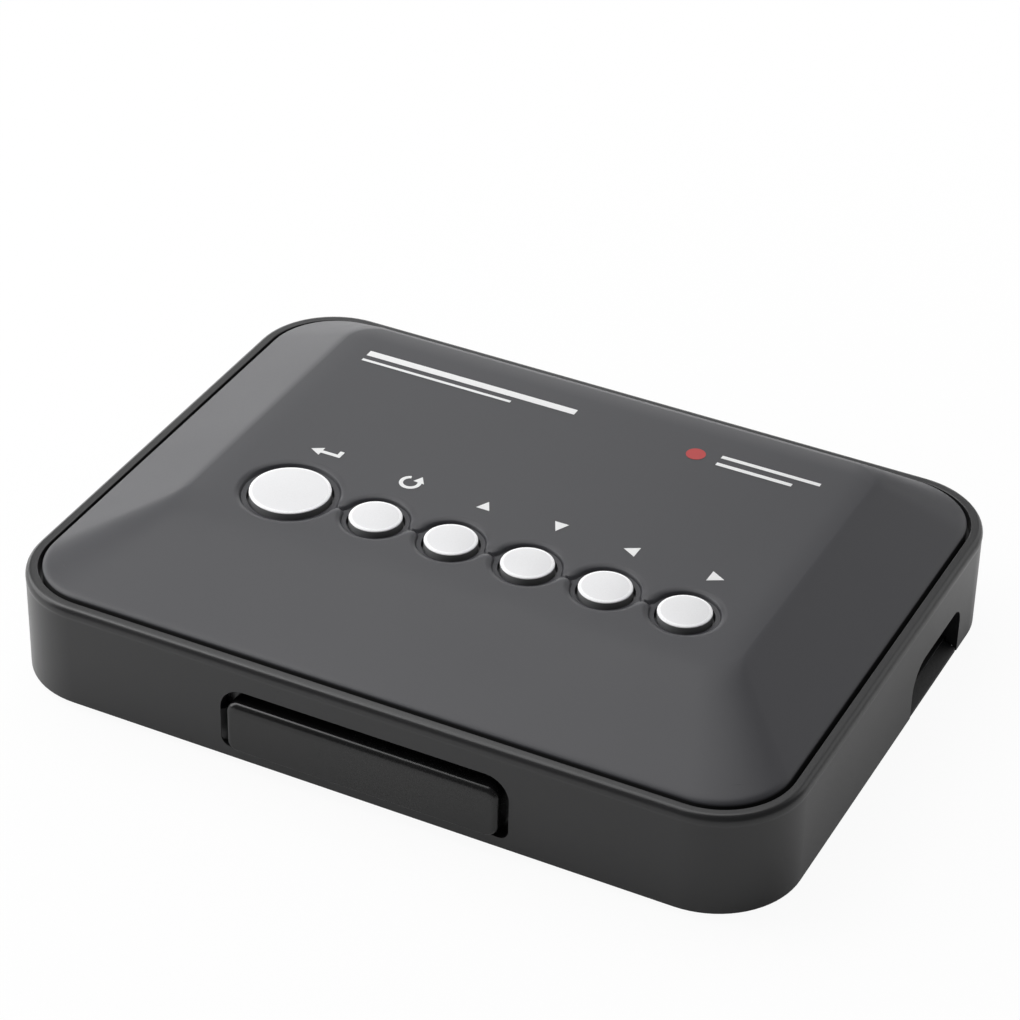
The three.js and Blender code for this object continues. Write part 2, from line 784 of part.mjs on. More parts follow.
function switchHousing() {
  const half = switchWidth / 2;
  const body = solidOf(loft([
    { points: roundedOutline(half, half, switchEdge), level: 0 },
    { points: roundedOutline(half, half, switchEdge), level: switchHeight },
  ]));
  const bore = solidOf(post(0, 0, switchHeight - plungerDepth - buttonTravel - fitGap, switchHeight + overrun,
    plungerRadius + plungerClearance));
  return body.subtract(bore);
}

function plunger() {
  return post(0, 0, -plungerDepth - plungerRise, 0, plungerRadius);
}

// Screws: the head's face lies at the seat and the shank runs down from it.

function screw(shankRadius, length, headRadius, headHeight) {
  const body = solidOf(turned([
    [0, -length],
    [shankRadius, shankRadius - length],
    [shankRadius, 0],
    [headRadius, 0],
    [headRadius, headHeight / 2],
    [headRadius - headHeight / 2, headHeight],
    [0, headHeight],
  ], screwSteps));
  const reach = headRadius / 2;
  const half = crossWidth / 2;
  const depth = Math.min(crossDepth, headHeight / 2);
  const long = solidOf(box(-reach, reach, -half, half, headHeight - depth, headHeight + overrun));
  const short = solidOf(box(-half, half, -reach, reach, headHeight - depth, headHeight + overrun));
  return geometryOf(cut(body, long, short));
}

// Boards

function mainBoard() {
  const right = pocketInside - earWallGap / 2;
  const left = -innerHalfWidth + earWallGap;
  const usbFront = pocketCentreY - usbWidth / 2;
  const usbRear = pocketCentreY + usbWidth / 2;
  const cardFront = cardCentreY - cardSocketWidth / 2;
  const cardRear = cardCentreY + cardSocketWidth / 2;
  const laminate = solidOf(prism('z', shapeOf([
    [-boardHalfWidth, boardFront],
    [boardHalfWidth, boardFront],
    [boardHalfWidth, usbFront - earMargin],
    [right, usbFront - earMargin],
    [right, usbRear + earMargin],
    [boardHalfWidth, usbRear + earMargin],
    [boardHalfWidth, boardRear],
    [-boardHalfWidth, boardRear],
    [-boardHalfWidth, cardRear + earWallGap],
    [left, cardRear + earWallGap],
    [left, cardFront - earWallGap],
    [-boardHalfWidth, cardFront - earWallGap],
  ]), boardBottom, boardTop));
  const usbNotch = solidOf(box(pocketEnd - usbLength - fitGap, right + overrun,
    usbFront - fitGap, usbRear + fitGap, boardBottom - overrun, boardTop + overrun));
  const holes = boardScrewPlaces().map(([x, y]) => solidOf(
    post(x, y, boardBottom - overrun, boardTop + overrun, boardScrewRadius + fitGap),
  ));
  return geometryOf(cut(laminate, usbNotch, ...holes));
}

function keyBoard() {
  const plate = solidOf(box(buttonRowX - keyBoardLeftMargin, lastButton.x + keyBoardRightMargin,
    buttonRowY - keyBoardDepth / 2, buttonRowY + keyBoardDepth / 2, keyBoardBottom, keyBoardTop));
  const holes = keyScrewPlaces().map(([x, y]) => solidOf(
    post(x, y, keyBoardBottom - overrun, keyBoardTop + overrun, keyScrewRadius + fitGap),
  ));
  return geometryOf(cut(plate, ...holes));
}

// Sockets

function usbShell() {
  const front = pocketEnd - seatGap;
  const outer = solidOf(box(front - usbLength, front, -usbWidth / 2, usbWidth / 2, 0, usbHeight));
  const inner = solidOf(box(front - usbLength + usbShellWall, front + overrun,
    usbShellWall - usbWidth / 2, usbWidth / 2 - usbShellWall, usbShellWall, usbHeight - usbShellWall));
  return geometryOf(outer.subtract(inner));
}

function usbTongue() {
  const rear = pocketEnd - seatGap - usbLength + usbShellWall + seatGap;
  const inner = usbWidth / 2 - usbShellWall - seatGap;
  const middle = usbHeight / 2;
  const block = solidOf(box(rear, rear + usbBlockLength, -inner, inner,
    usbShellWall + seatGap, usbHeight - usbShellWall - seatGap));
  const tongueSide = usbWidth / 2 - usbTongueSideGap;
  const tongue = solidOf(box(rear + usbBlockLength - seatGap, rear + usbBlockLength + usbTongueLength,
    -tongueSide, tongueSide, middle, middle + usbTongueThickness));
  return geometryOf(block.add(tongue));
}

function hdmiOutline(inset) {
  const half = hdmiWidth / 2 - inset;
  return shapeOf([
    [-half + hdmiChamfer, inset],
    [half - hdmiChamfer, inset],
    [half, hdmiChamfer],
    [half, hdmiHeight - inset],
    [-half, hdmiHeight - inset],
    [-half, hdmiChamfer],
  ]);
}

function hdmiShell() {
  const face = halfDepth - rearRecess;
  const outer = solidOf(prism('y', hdmiOutline(0), face - hdmiLength, face));
  const inner = solidOf(prism('y', hdmiOutline(hdmiWall), face - hdmiLength + hdmiWall, face + overrun));
  return geometryOf(outer.subtract(inner));
}

function hdmiTongue() {
  const back = halfDepth - rearRecess - hdmiLength + hdmiWall + seatGap;
  const middle = hdmiHeight / 2;
  const block = solidOf(prism('y', hdmiOutline(hdmiWall + seatGap), back, back + hdmiBlockLength));
  const tongueSide = hdmiWidth / 2 - hdmiTongueSideGap;
  const tongue = solidOf(box(-tongueSide, tongueSide,
    back + hdmiBlockLength - seatGap, back + hdmiBlockLength + hdmiTongueLength,
    middle - hdmiTongueThickness / 2, middle + hdmiTongueThickness / 2));
  return geometryOf(block.add(tongue));
}

// A jack with a round collar that stands in the rear wall.
function rearJack(width, height, length, collar, bore, pin) {
  const inside = innerHalfDepth - seatGap;
  const face = halfDepth - rearRecess;
  const roundAlong = (radius, from, to) => solidOf(
    new THREE.CylinderGeometry(radius, radius, to - from, roundSteps).translate(0, (from + to) / 2, height / 2),
  );
  const body = joined(
    solidOf(box(-width / 2, width / 2, inside - length, inside, 0, height)),
    roundAlong(collar, inside - seatGap, face),
  );
  const bored = body.subtract(roundAlong(bore, face - jackBoreDepth, face + overrun));
  const whole = pin > 0 ? bored.add(roundAlong(pin, face - jackBoreDepth - seatGap, face - overrun)) : bored;
  return geometryOf(whole);
}

function cardSocket() {
  const half = cardSocketWidth / 2;
  const body = solidOf(box(cardMouth, cardMouth + cardSocketLength, -half, half, 0, cardSocketHeight));
  const gapBottom = (cardSocketHeight - cardMouthHeight) / 2;
  const opening = solidOf(box(cardMouth - overrun, cardMouth + cardMouthDepth,
    -cardMouthWidth / 2, cardMouthWidth / 2, gapBottom, gapBottom + cardMouthHeight));
  return geometryOf(body.subtract(opening));
}

// Front window: a lens that stands out through the slot, with a flange behind the wall.
function frontWindow() {
  const lensFloor = slotFloor + lensBottomGap;
  const lensRoof = slotRoof - lensTopGap;
  const lensReach = lensStandOut + halfDepth + windowBack;
  const ring = (inset, level) => ({
    points: roundedOutline(
      slotWidth / 2 - lensSideGap - inset,
      (lensRoof - lensFloor) / 2 - inset,
      slotTopRadius - lensTopGap - inset,
      cornerSteps,
    ),
    level,
  });
  const lens = loft([ring(0, 0), ring(0, lensReach - lensBevel), ring(lensBevel, lensReach)]);
  lens.rotateX(quarterTurn).translate(0, windowBack, (lensFloor + lensRoof) / 2);
  const flangeHalf = slotWidth / 2 + lensFlangeMargin;
  const flange = box(-flangeHalf, flangeHalf, windowBack - lensFlangeThickness, windowBack,
    floorTop + fitGap, slotRoof + lensFlangeTopMargin);
  return geometryOf(joined(solidOf(lens), solidOf(flange)));
}

// Parts on the main board, each standing on its own zero level

function chip(width, depth, height) {
  const outline = (inset) => roundedOutline(width / 2 - inset, depth / 2 - inset, chipEdge);
  return loft([
    { points: outline(chipEdge), level: 0 },
    { points: outline(0), level: height / 2 },
    { points: outline(chipEdge / 2), level: height },
  ]);
}

function heatSink() {
  const half = heatSinkWidth / 2;
  const pieces = [solidOf(box(-half, half, -half, half, 0, heatSinkBase))];
  const pitch = (heatSinkWidth - finThickness) / (finCount - 1);
  for (let k = 0; k < finCount; k += 1) {
    const left = -half + k * pitch;
    pieces.push(solidOf(box(left, left + finThickness, -half, half, heatSinkBase / 2, heatSinkHeight)));
  }
  return geometryOf(joined(...pieces));
}

function crystal() {
  const radius = crystalWidth / 2;
  const half = crystalLength / 2;
  const outline = (inset) => roundedOutline(half - inset, radius - inset, radius - inset, crystalSteps);
  return loft([
    { points: outline(0), level: 0 },
    { points: outline(0), level: crystalBase },
    { points: outline(crystalFlange), level: crystalBase + crystalFlange / 2 },
    { points: outline(crystalFlange), level: crystalHeight - crystalFlange },
    { points: outline(2 * crystalFlange), level: crystalHeight },
  ]);
}

function capacitor() {
  const waist = capacitorRadius - capacitorGroove;
  return turned([
    [0, 0],
    [capacitorRadius, 0],
    [capacitorRadius, capacitorBase],
    [waist, capacitorBase + capacitorGroove],
    [capacitorRadius, capacitorBase + 2 * capacitorGroove],
    [capacitorRadius, capacitorHeight - capacitorGroove],
    [waist, capacitorHeight],
    [0, capacitorHeight],
  ], smallRoundSteps);
}

function inductor() {
  const half = inductorWidth / 2;
  const foot = solidOf(loft([
    { points: roundedOutline(half, half, inductorRim), level: 0 },
    { points: roundedOutline(half, half, inductorRim), level: inductorRim },
  ]));
  const core = solidOf(post(0, 0, inductorRim / 2, inductorHeight - inductorRim / 2, inductorCoilRadius));
  const lid = solidOf(post(0, 0, inductorHeight - inductorRim, inductorHeight, half, smallRoundSteps));
  return geometryOf(joined(foot, core, lid));
}

// An infra-red receiver with its round lens towards the window.
function infraRedReceiver() {
  const body = solidOf(box(-receiverWidth / 2, receiverWidth / 2, 0, receiverDepth, 0, receiverHeight));
  const lens = solidOf(new THREE.SphereGeometry(receiverDomeRadius, smallRoundSteps, smallRoundSteps / 2)
    .translate(0, receiverDomeRadius / 2, receiverHeight / 2));
  const front = -receiverDomeRadius / 2;
  const limit = solidOf(box(-receiverWidth, receiverWidth, front, receiverDepth, 0, receiverHeight));
  return geometryOf(body.add(lens.intersect(limit)));
}

// A lamp that lies level and shines forward, in its holder.
function statusLamp() {
  const centre = lampRadius + lampFlange;
  const straight = lampLength - lampRadius;
  const profile = [[0, -lampFlangeLength], [centre, -lampFlangeLength], [centre, 0], [lampRadius, 0],
    [lampRadius, straight]];
  const domeSteps = 4;
  for (let step = 1; step <= domeSteps; step += 1) {
    const angle = (step / domeSteps) * quarterTurn;
    const radius = step < domeSteps ? lampRadius * Math.cos(angle) : 0;
    profile.push([radius, straight + lampRadius * Math.sin(angle)]);
  }
  const lamp = solidOf(turned(profile, smallRoundSteps).rotateX(quarterTurn).translate(0, lampLength, centre));
  const holder = solidOf(box(-lampMountWidth / 2, lampMountWidth / 2,
    lampLength, lampLength + lampMountWidth / 2, 0, 2 * centre));
  return geometryOf(lamp.add(holder));
}

// Ribbon: level out of the key board's connector, then down into the main board's.
function ribbonCable(top, bottom, from) {
  const half = ribbonThickness / 2;
  const bendY = from + ribbonReach;
  const shape = new THREE.Shape();
  shape.moveTo(from, top - half);
  shape.lineTo(bendY, top - half);
  shape.absarc(bendY, top - ribbonBend, ribbonBend - half, quarterTurn, 0, true);
  shape.lineTo(bendY + ribbonBend - half, bottom);
  shape.lineTo(bendY + ribbonBend + half, bottom);
  shape.lineTo(bendY + ribbonBend + half, top - ribbonBend);
  shape.absarc(bendY, top - ribbonBend, ribbonBend + half, 0, quarterTurn);
  shape.lineTo(from, top + half);
  return prism('x', shape, -ribbonWidth / 2, ribbonWidth / 2);
}

// Assembly

const mediaPlayer = new THREE.Group();
mediaPlayer.name = 'media_player';

mediaPlayer.add(part('base_plate', geometryOf(basePlate()), basePlastic));
mediaPlayer.add(part('case_body', geometryOf(caseBody()), casePlastic));
mediaPlayer.add(part('top_cover', geometryOf(topCover()), coverPlastic));
mediaPlayer.add(part('front_window', frontWindow(), smokedPlastic));

const cornerNames = ['front_left', 'front_right', 'rear_left', 'rear_right'];

const footGeometry = turned([
  [0, 0],
  [footRadius - footBevel, 0],
  [footRadius, footBevel],
  [footRadius, footHeight],
  [0, footHeight],
], roundSteps);
const feet = new THREE.Group();
cornerPlaces(halfWidth - footSideInset, halfDepth - footEndInset).forEach(([x, y], index) => {
  feet.add(part(`foot_${cornerNames[index]}`, footGeometry.clone(), footRubber, x, y));
});
mediaPlayer.add(feet);

// The case screws point up, so each stands on its head.
const caseScrewGeometry = screw(caseScrewRadius, caseScrewLength, caseScrewHeadRadius, caseScrewHeadHeight);
const caseScrews = new THREE.Group();
cornerPlaces(caseScrewX, caseScrewY).forEach(([x, y], index) => {
  const name = `case_screw_${cornerNames[index]}`;
  const one = part(name, caseScrewGeometry.clone(), screwSteel, x, y, caseScrewSeat - seatGap);
  one.rotation.x = halfTurn;
  caseScrews.add(one);
});
mediaPlayer.add(caseScrews);

const keys = new THREE.Group();
buttons.forEach(({ name, radius, x }) => {
  keys.add(part(`button_${name}`, buttonCap(radius), buttonPaint, x, buttonRowY));
  keys.add(part(`switch_${name}`, geometryOf(switchHousing()), blackNylon, x, buttonRowY, keyBoardTop));
  keys.add(part(`plunger_${name}`, plunger(), plugNylon, x, buttonRowY, plungerTop));
});
keys.add(part('key_board', keyBoard(), boardLaminate));
const keyScrewGeometry = screw(keyScrewRadius, keyScrewLength, keyScrewHeadRadius, keyScrewHeadHeight);
keyScrewPlaces().forEach(([x, y], index) => {
  const one = part(`key_screw_${index + 1}`, keyScrewGeometry.clone(), screwSteel, x, y, keyBoardBottom);
  one.rotation.x = halfTurn;
  keys.add(one);
});
mediaPlayer.add(keys);

const electronics = new THREE.Group();
electronics.add(part('main_board', mainBoard(), boardLaminate));
const boardScrewGeometry = screw(boardScrewRadius, boardThickness + boardScrewEngagement,
  boardScrewHeadRadius, boardScrewHeadHeight);
boardScrewPlaces().forEach(([x, y], index) => {
  const name = `board_screw_${cornerNames[index]}`;
  electronics.add(part(name, boardScrewGeometry.clone(), screwSteel, x, y, boardTop));
});

const alongBoard = (share) => boardCentreY + share * boardHalfDepth;
const onBoard = (name, geometry, material, x, shareY, level = boardTop) => {
  electronics.add(part(name, geometry, material, x, alongBoard(shareY), level));
};
onBoard('processor', chip(processorWidth, processorWidth, processorHeight), chipEpoxy,
  processorX, processorPlaceShare);
onBoard('heat_sink', heatSink(), sinkAluminium, processorX, processorPlaceShare, boardTop + processorHeight);
memoryPlaceShares.forEach((shareY, index) => {
  onBoard(`memory_chip_${index + 1}`, chip(memoryWidth, memoryDepth, memoryHeight), chipEpoxy, memoryX, shareY);
});
onBoard('inductor', inductor(), coilSleeve, inductorX, inductorPlaceShare);
[0, 1].forEach((index) => {
  const x = inductorX + index * capacitorPitch;
  onBoard(`capacitor_${index + 1}`, capacitor(), coilSleeve, x, capacitorPlaceShare);
});
const [flashShareX, flashShareY] = flashPlaceShares;
onBoard('flash_chip', chip(flashWidth, flashDepth, flashHeight), chipEpoxy,
  flashShareX * boardHalfWidth, flashShareY);
const [crystalShareX, crystalShareY] = crystalPlaceShares;
onBoard('crystal', crystal(), plugSteel, crystalShareX * boardHalfWidth, crystalShareY);

const windowFace = windowBack + receiverWindowGap + receiverDomeRadius / 2;
electronics.add(part('infra_red_receiver', infraRedReceiver(), chipEpoxy,
  receiverPlaceShare * boardHalfWidth, windowFace, boardTop));
electronics.add(part('status_lamp', statusLamp(), lampEpoxy,
  lampPlaceShare * boardHalfWidth, windowBack + lampWindowGap, boardTop));

electronics.add(part('usb_shell', usbShell(), plugSteel, 0, pocketCentreY, usbBottom));
electronics.add(part('usb_tongue', usbTongue(), blackNylon, 0, pocketCentreY, usbBottom));
electronics.add(part('hdmi_shell', hdmiShell(), plugSteel, hdmiX, 0, boardTop));
electronics.add(part('hdmi_tongue', hdmiTongue(), blackNylon, hdmiX, 0, boardTop));
electronics.add(part('av_jack', rearJack(avWidth, avHeight, avLength, avCollar, avBore, 0), blackNylon,
  avX, 0, boardTop));
electronics.add(part('power_jack', rearJack(dcWidth, dcHeight, dcLength, dcCollar, dcBore, dcPin), blackNylon,
  dcX, 0, boardTop));
electronics.add(part('card_socket', cardSocket(), plugSteel, 0, cardCentreY, boardTop));

const keyPlugRear = buttonRowY + keyBoardDepth / 2 - fitGap;
const ribbonTop = keyBoardBottom - keyPlugHeight / 2;
const mainPlugTop = boardTop + mainPlugHeight;
const mainPlugY = keyPlugRear + seatGap + ribbonReach + ribbonBend;
electronics.add(part('key_connector', box(-plugLength / 2, plugLength / 2, -plugWidth, 0, -keyPlugHeight, 0),
  plugNylon, ribbonX, keyPlugRear, keyBoardBottom));
electronics.add(part('main_connector', box(-plugLength / 2, plugLength / 2, -plugWidth / 2, plugWidth / 2,
  0, mainPlugHeight), plugNylon, ribbonX, mainPlugY, boardTop));
electronics.add(part('ribbon_cable', ribbonCable(ribbonTop, mainPlugTop + seatGap, keyPlugRear + seatGap),
  ribbonFilm, ribbonX));
mediaPlayer.add(electronics);

// The window stands out at the front, so the body is set back by half of that and the
// origin lies below the middle of the whole.
mediaPlayer.position.y = lensStandOut / 2;

export default mediaPlayer;
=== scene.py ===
# A small black media player on a white table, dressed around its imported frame.
# Lengths in the dictionaries are millimetres, and mm turns them into metres.
import json
import math

import bmesh
import bpy
from mathutils import Matrix, Vector
from mathutils.geometry import delaunay_2d_cdt


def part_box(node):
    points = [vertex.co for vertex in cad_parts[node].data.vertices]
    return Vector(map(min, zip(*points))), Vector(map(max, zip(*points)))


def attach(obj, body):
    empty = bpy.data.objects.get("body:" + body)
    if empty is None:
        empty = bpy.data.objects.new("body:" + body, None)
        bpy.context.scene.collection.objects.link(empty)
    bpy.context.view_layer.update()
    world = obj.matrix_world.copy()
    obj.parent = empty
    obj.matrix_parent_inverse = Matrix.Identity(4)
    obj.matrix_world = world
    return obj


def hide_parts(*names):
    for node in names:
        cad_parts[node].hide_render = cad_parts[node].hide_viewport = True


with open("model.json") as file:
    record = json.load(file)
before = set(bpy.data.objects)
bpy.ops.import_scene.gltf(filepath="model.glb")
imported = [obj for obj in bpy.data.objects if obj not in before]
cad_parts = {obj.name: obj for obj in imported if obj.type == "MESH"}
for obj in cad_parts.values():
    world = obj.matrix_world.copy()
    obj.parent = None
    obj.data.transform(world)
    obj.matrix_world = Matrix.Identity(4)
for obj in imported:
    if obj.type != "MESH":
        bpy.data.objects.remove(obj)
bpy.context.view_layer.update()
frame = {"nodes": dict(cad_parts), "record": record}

mm = 0.001
nodes = frame["nodes"]
print("frame loaded with", len(nodes), "nodes")


def newObject(name, data):
    made = bpy.data.objects.new(name, data)
    bpy.context.scene.collection.objects.link(made)
    return made


# Camera and light

camera = {
    "target": (-15.41, 31.6, 1.2), "distance": 585.16,
    "azimuth": 26.006, "elevation": 34.241, "roll": 1.3815,   # degrees
    "lens": 123.114, "sensorWidth": 36.0,
    "clipStart": 10, "clipEnd": 20000,
}

def placeCamera():
    azimuth, elevation, roll = (math.radians(camera[key]) for key in ("azimuth", "elevation", "roll"))
    # back points from the target to the camera
    back = Vector((math.sin(azimuth) * math.cos(elevation), -math.cos(azimuth) * math.cos(elevation),
                   math.sin(elevation)))
    level = Vector((0, 0, 1)).cross(back).normalized()
    upright = back.cross(level)
    right = level * math.cos(roll) + upright * math.sin(roll)
    top = upright * math.cos(roll) - level * math.sin(roll)
    data = bpy.data.cameras.new("camera")
    data.lens = camera["lens"]
    data.sensor_width = camera["sensorWidth"]
    data.clip_start = camera["clipStart"] * mm
    data.clip_end = camera["clipEnd"] * mm
    eye = newObject("camera", data)
    place = Vector(camera["target"]) * mm + back * camera["distance"] * mm
    eye.matrix_world = Matrix.Translation(place) @ Matrix((right, top, back)).transposed().to_4x4()
    bpy.context.scene.camera = eye

placeCamera()

aimHeight = 12   # the soft boxes face a point this far above the table's middle

# each soft box hangs at its place, with the width and height of its face and how bright that is
softBoxes = {
    "overhead": {"place": (-250, 130, 640), "size": (760, 580), "glow": 2.3},
    "frontLeft": {"place": (-290, -130, 380), "size": (260, 240), "glow": 2.6},
    "rearLeft": {"place": (-610, 740, 155), "size": (1180, 300), "glow": 2.4},
    "rear": {"place": (-330, 850, 470), "size": (560, 560), "glow": 0.35},
    "rearRight": {"place": (430, 800, 420), "size": (800, 700), "glow": 1.0},
    "left": {"place": (-620, -120, 260), "size": (560, 440), "glow": 2.8},
}

def hangSoftBoxes():
    for name, box in softBoxes.items():
        data = bpy.data.lights.new("softBox_" + name, "AREA")
        data.shape = "RECTANGLE"
        data.size, data.size_y = (side * mm for side in box["size"])
        data.energy = box["glow"] * math.pi * data.size * data.size_y
        lamp = newObject("softBox_" + name, data)
        lamp.location = Vector(box["place"]) * mm
        away = lamp.location - Vector((0, 0, aimHeight * mm))
        lamp.rotation_euler = away.to_track_quat("Z", "Y").to_euler()
        lamp.visible_camera = False

hangSoftBoxes()
bpy.context.scene.view_settings.view_transform = "Standard"


def addNode(tree, kind, **values):
    # values are inputs by their label, or else settings of the node
    node = tree.nodes.new("ShaderNode" + kind)
    for key, value in values.items():
        if key in node.inputs:
            node.inputs[key].default_value = value
        else:
            setattr(node, key, value)
    return node

def wire(tree, source, output, target, entry):
    tree.links.new(source.outputs[output], target.inputs[entry])

white = (1, 1, 1, 1)
sky = {"strength": 0.13, "backdrop": 1.0}

table = {
    "size": 6000,
    "reflectance": (0.86, 0.86, 0.86, 1),
    "shadowShare": 0.07,   # how much of the shadow the camera sees, under the player
    "shadowReach": 260,    # and how far out it fades away
    "glossShare": 0.2,     # how much of its white shows in reflections
}

def lightTheSky():
    world = bpy.data.worlds.new("studio")
    bpy.context.scene.world = world
    world.use_nodes = True
    tree = world.node_tree
    tree.nodes.clear()
    glow = addNode(tree, "Background", Color=white, Strength=sky["strength"])
    backdrop = addNode(tree, "Background", Color=white, Strength=sky["backdrop"])
    path = addNode(tree, "LightPath")
    mix = addNode(tree, "MixShader")
    out = addNode(tree, "OutputWorld")
    wire(tree, path, "Is Camera Ray", mix, 0)
    wire(tree, glow, 0, mix, 1)
    wire(tree, backdrop, 0, mix, 2)
    wire(tree, mix, 0, out, 0)

lightTheSky()

def tableFinish():
    material = bpy.data.materials.new("tableWhite")
    material.use_nodes = True
    tree = material.node_tree
    tree.nodes.clear()
    matt = addNode(tree, "BsdfDiffuse", Color=table["reflectance"])
    bright = addNode(tree, "Emission", Color=white, Strength=1.0)
    # the camera sees it white, with the shadow let through near the middle
    place = addNode(tree, "TexCoord")
    away = addNode(tree, "VectorMath", operation="LENGTH")
    nearness = addNode(tree, "MapRange", interpolation_type="SMOOTHSTEP", **{
        "From Min": 0, "From Max": table["shadowReach"] * mm,
        "To Min": 1 - table["shadowShare"], "To Max": 1})
    path = addNode(tree, "LightPath")
    inGloss = addNode(tree, "Math", operation="MULTIPLY")
    inGloss.inputs[1].default_value = table["glossShare"]
    shownAsWhite = addNode(tree, "Math", operation="MULTIPLY_ADD")
    mix = addNode(tree, "MixShader")
    # from below the table is clear, so that the underside can be seen
    side = addNode(tree, "NewGeometry")
    clear = addNode(tree, "BsdfTransparent")
    fromBelow = addNode(tree, "MixShader")
    out = addNode(tree, "OutputMaterial")
    wire(tree, place, "Object", away, 0)
    wire(tree, away, "Value", nearness, "Value")
    wire(tree, path, "Is Glossy Ray", inGloss, 0)
    wire(tree, path, "Is Camera Ray", shownAsWhite, 0)
    wire(tree, nearness, "Result", shownAsWhite, 1)
    wire(tree, inGloss, 0, shownAsWhite, 2)
    wire(tree, shownAsWhite, 0, mix, 0)
    wire(tree, matt, 0, mix, 1)
    wire(tree, bright, 0, mix, 2)
    wire(tree, side, "Backfacing", fromBelow, 0)
    wire(tree, mix, 0, fromBelow, 1)
    wire(tree, clear, 0, fromBelow, 2)
    wire(tree, fromBelow, 0, out, 0)
    return material

def layTable():
    mesh = bpy.data.meshes.new("table")
    half = table["size"] * mm / 2
    corners = [(-half, -half, 0), (half, -half, 0), (half, half, 0), (-half, half, 0)]
    mesh.from_pydata(corners, [], [(0, 1, 2, 3)])
    top = newObject("table", mesh)
    mesh.materials.append(tableFinish())

layTable()
print("camera, soft boxes and table placed")


# Effects that several finishes share

grainLook = {"scale": 5200.0, "roughness": 0.45, "roughnessSpread": 0.08, "color": (0.05, 0.05, 0.05, 1),
             "tintSpread": 0.12, "detail": 3.0, "fineness": 0.6,
             "driftScale": 38.0, "driftDetail": 4.0, "driftFineness": 0.55}
lineLook = {"scale": 900.0, "roughness": 0.3, "roughnessSpread": 0.2, "color": (0.6, 0.6, 0.6, 1),
            "tintSpread": 0.2, "detail": 4.0, "fineness": 0.7, "stretch": (0.04, 1.0, 1.0)}

def newEffect(name, scaleLabel, look):
    group = bpy.data.node_groups.new(name, "ShaderNodeTree")
    number, color = "NodeSocketFloat", "NodeSocketColor"
    for label, kind, key in ((scaleLabel, number, "scale"), ("Roughness", number, "roughness"),
                             ("Roughness Spread", number, "roughnessSpread"), ("Color", color, "color"),
                             ("Tint Spread", number, "tintSpread")):
        socket = group.interface.new_socket(name=label, in_out="INPUT", socket_type=kind)
        socket.default_value = look[key]
    for label, kind in (("Color", color), ("Roughness", number), ("Height", number)):
        group.interface.new_socket(name=label, in_out="OUTPUT", socket_type=kind)
    return group, group.nodes.new("NodeGroupInput"), group.nodes.new("NodeGroupOutput")

def finishEffect(group, entry, leave, pattern, middle, height):
    # roughness and colour swing with the pattern, about its middle value
    centred = addNode(group, "Math", operation="SUBTRACT")
    group.links.new(pattern, centred.inputs[0])
    centred.inputs[1].default_value = middle
    rough = addNode(group, "Math", operation="MULTIPLY_ADD")
    wire(group, centred, 0, rough, 0)
    wire(group, entry, "Roughness Spread", rough, 1)
    wire(group, entry, "Roughness", rough, 2)
    shade = addNode(group, "Math", operation="MULTIPLY_ADD")
    wire(group, centred, 0, shade, 0)
    wire(group, entry, "Tint Spread", shade, 1)
    shade.inputs[2].default_value = 1.0
    tinted = addNode(group, "VectorMath", operation="SCALE")
    wire(group, entry, "Color", tinted, 0)
    wire(group, shade, 0, tinted, "Scale")
    wire(group, tinted, "Vector", leave, "Color")
    wire(group, rough, 0, leave, "Roughness")
    group.links.new(height, leave.inputs["Height"])
    return group

def makeMouldGrain():
    # The fine spark texture of a moulded face, with a slow drift in its gloss
    look = grainLook
    group, entry, leave = newEffect("mouldGrain", "Grain Scale", look)
    place = addNode(group, "TexCoord")
    grain = addNode(group, "TexNoise", Detail=look["detail"], Roughness=look["fineness"])
    wire(group, place, "Object", grain, "Vector")
    wire(group, entry, "Grain Scale", grain, "Scale")
    drift = addNode(group, "TexNoise", Scale=look["driftScale"], Detail=look["driftDetail"],
                    Roughness=look["driftFineness"])
    wire(group, place, "Object", drift, "Vector")
    both = addNode(group, "Math", operation="ADD")
    wire(group, grain, "Fac", both, 0)
    wire(group, drift, "Fac", both, 1)
    return finishEffect(group, entry, leave, both.outputs[0], 1.0, grain.outputs["Fac"])

def makeRolledLines():
    # The drawn lines of rolled or plated sheet, along X
    look = lineLook
    group, entry, leave = newEffect("rolledLines", "Line Scale", look)
    place = addNode(group, "TexCoord")
    stretch = addNode(group, "VectorMath", operation="MULTIPLY")
    wire(group, place, "Object", stretch, 0)
    stretch.inputs[1].default_value = look["stretch"]
    lines = addNode(group, "TexNoise", Detail=look["detail"], Roughness=look["fineness"])
    wire(group, stretch, "Vector", lines, "Vector")
    wire(group, entry, "Line Scale", lines, "Scale")
    return finishEffect(group, entry, leave, lines.outputs["Fac"], 0.5, lines.outputs["Fac"])

mouldGrain = makeMouldGrain()
rolledLines = makeRolledLines()
print("shared effects built")


# Finishes

def finishWith(name, group, values, bump, **shaderValues):
    # A Principled finish whose colour, roughness and bump come from a shared effect
    material = bpy.data.materials.new(name)
    material.use_nodes = True
    tree = material.node_tree
    shader = tree.nodes["Principled BSDF"]
    for label, value in shaderValues.items():
        shader.inputs[label].default_value = value
    effect = addNode(tree, "Group", node_tree=group, **values)
    wire(tree, effect, "Color", shader, "Base Color")
    wire(tree, effect, "Roughness", shader, "Roughness")
    relief = addNode(tree, "Bump", Strength=bump["strength"], Distance=bump["depth"] * mm)
    wire(tree, effect, "Height", relief, "Height")
    wire(tree, relief, "Normal", shader, "Normal")
    return material

def grey(value, blue=1.05):
    return (value, value, value * blue, 1)

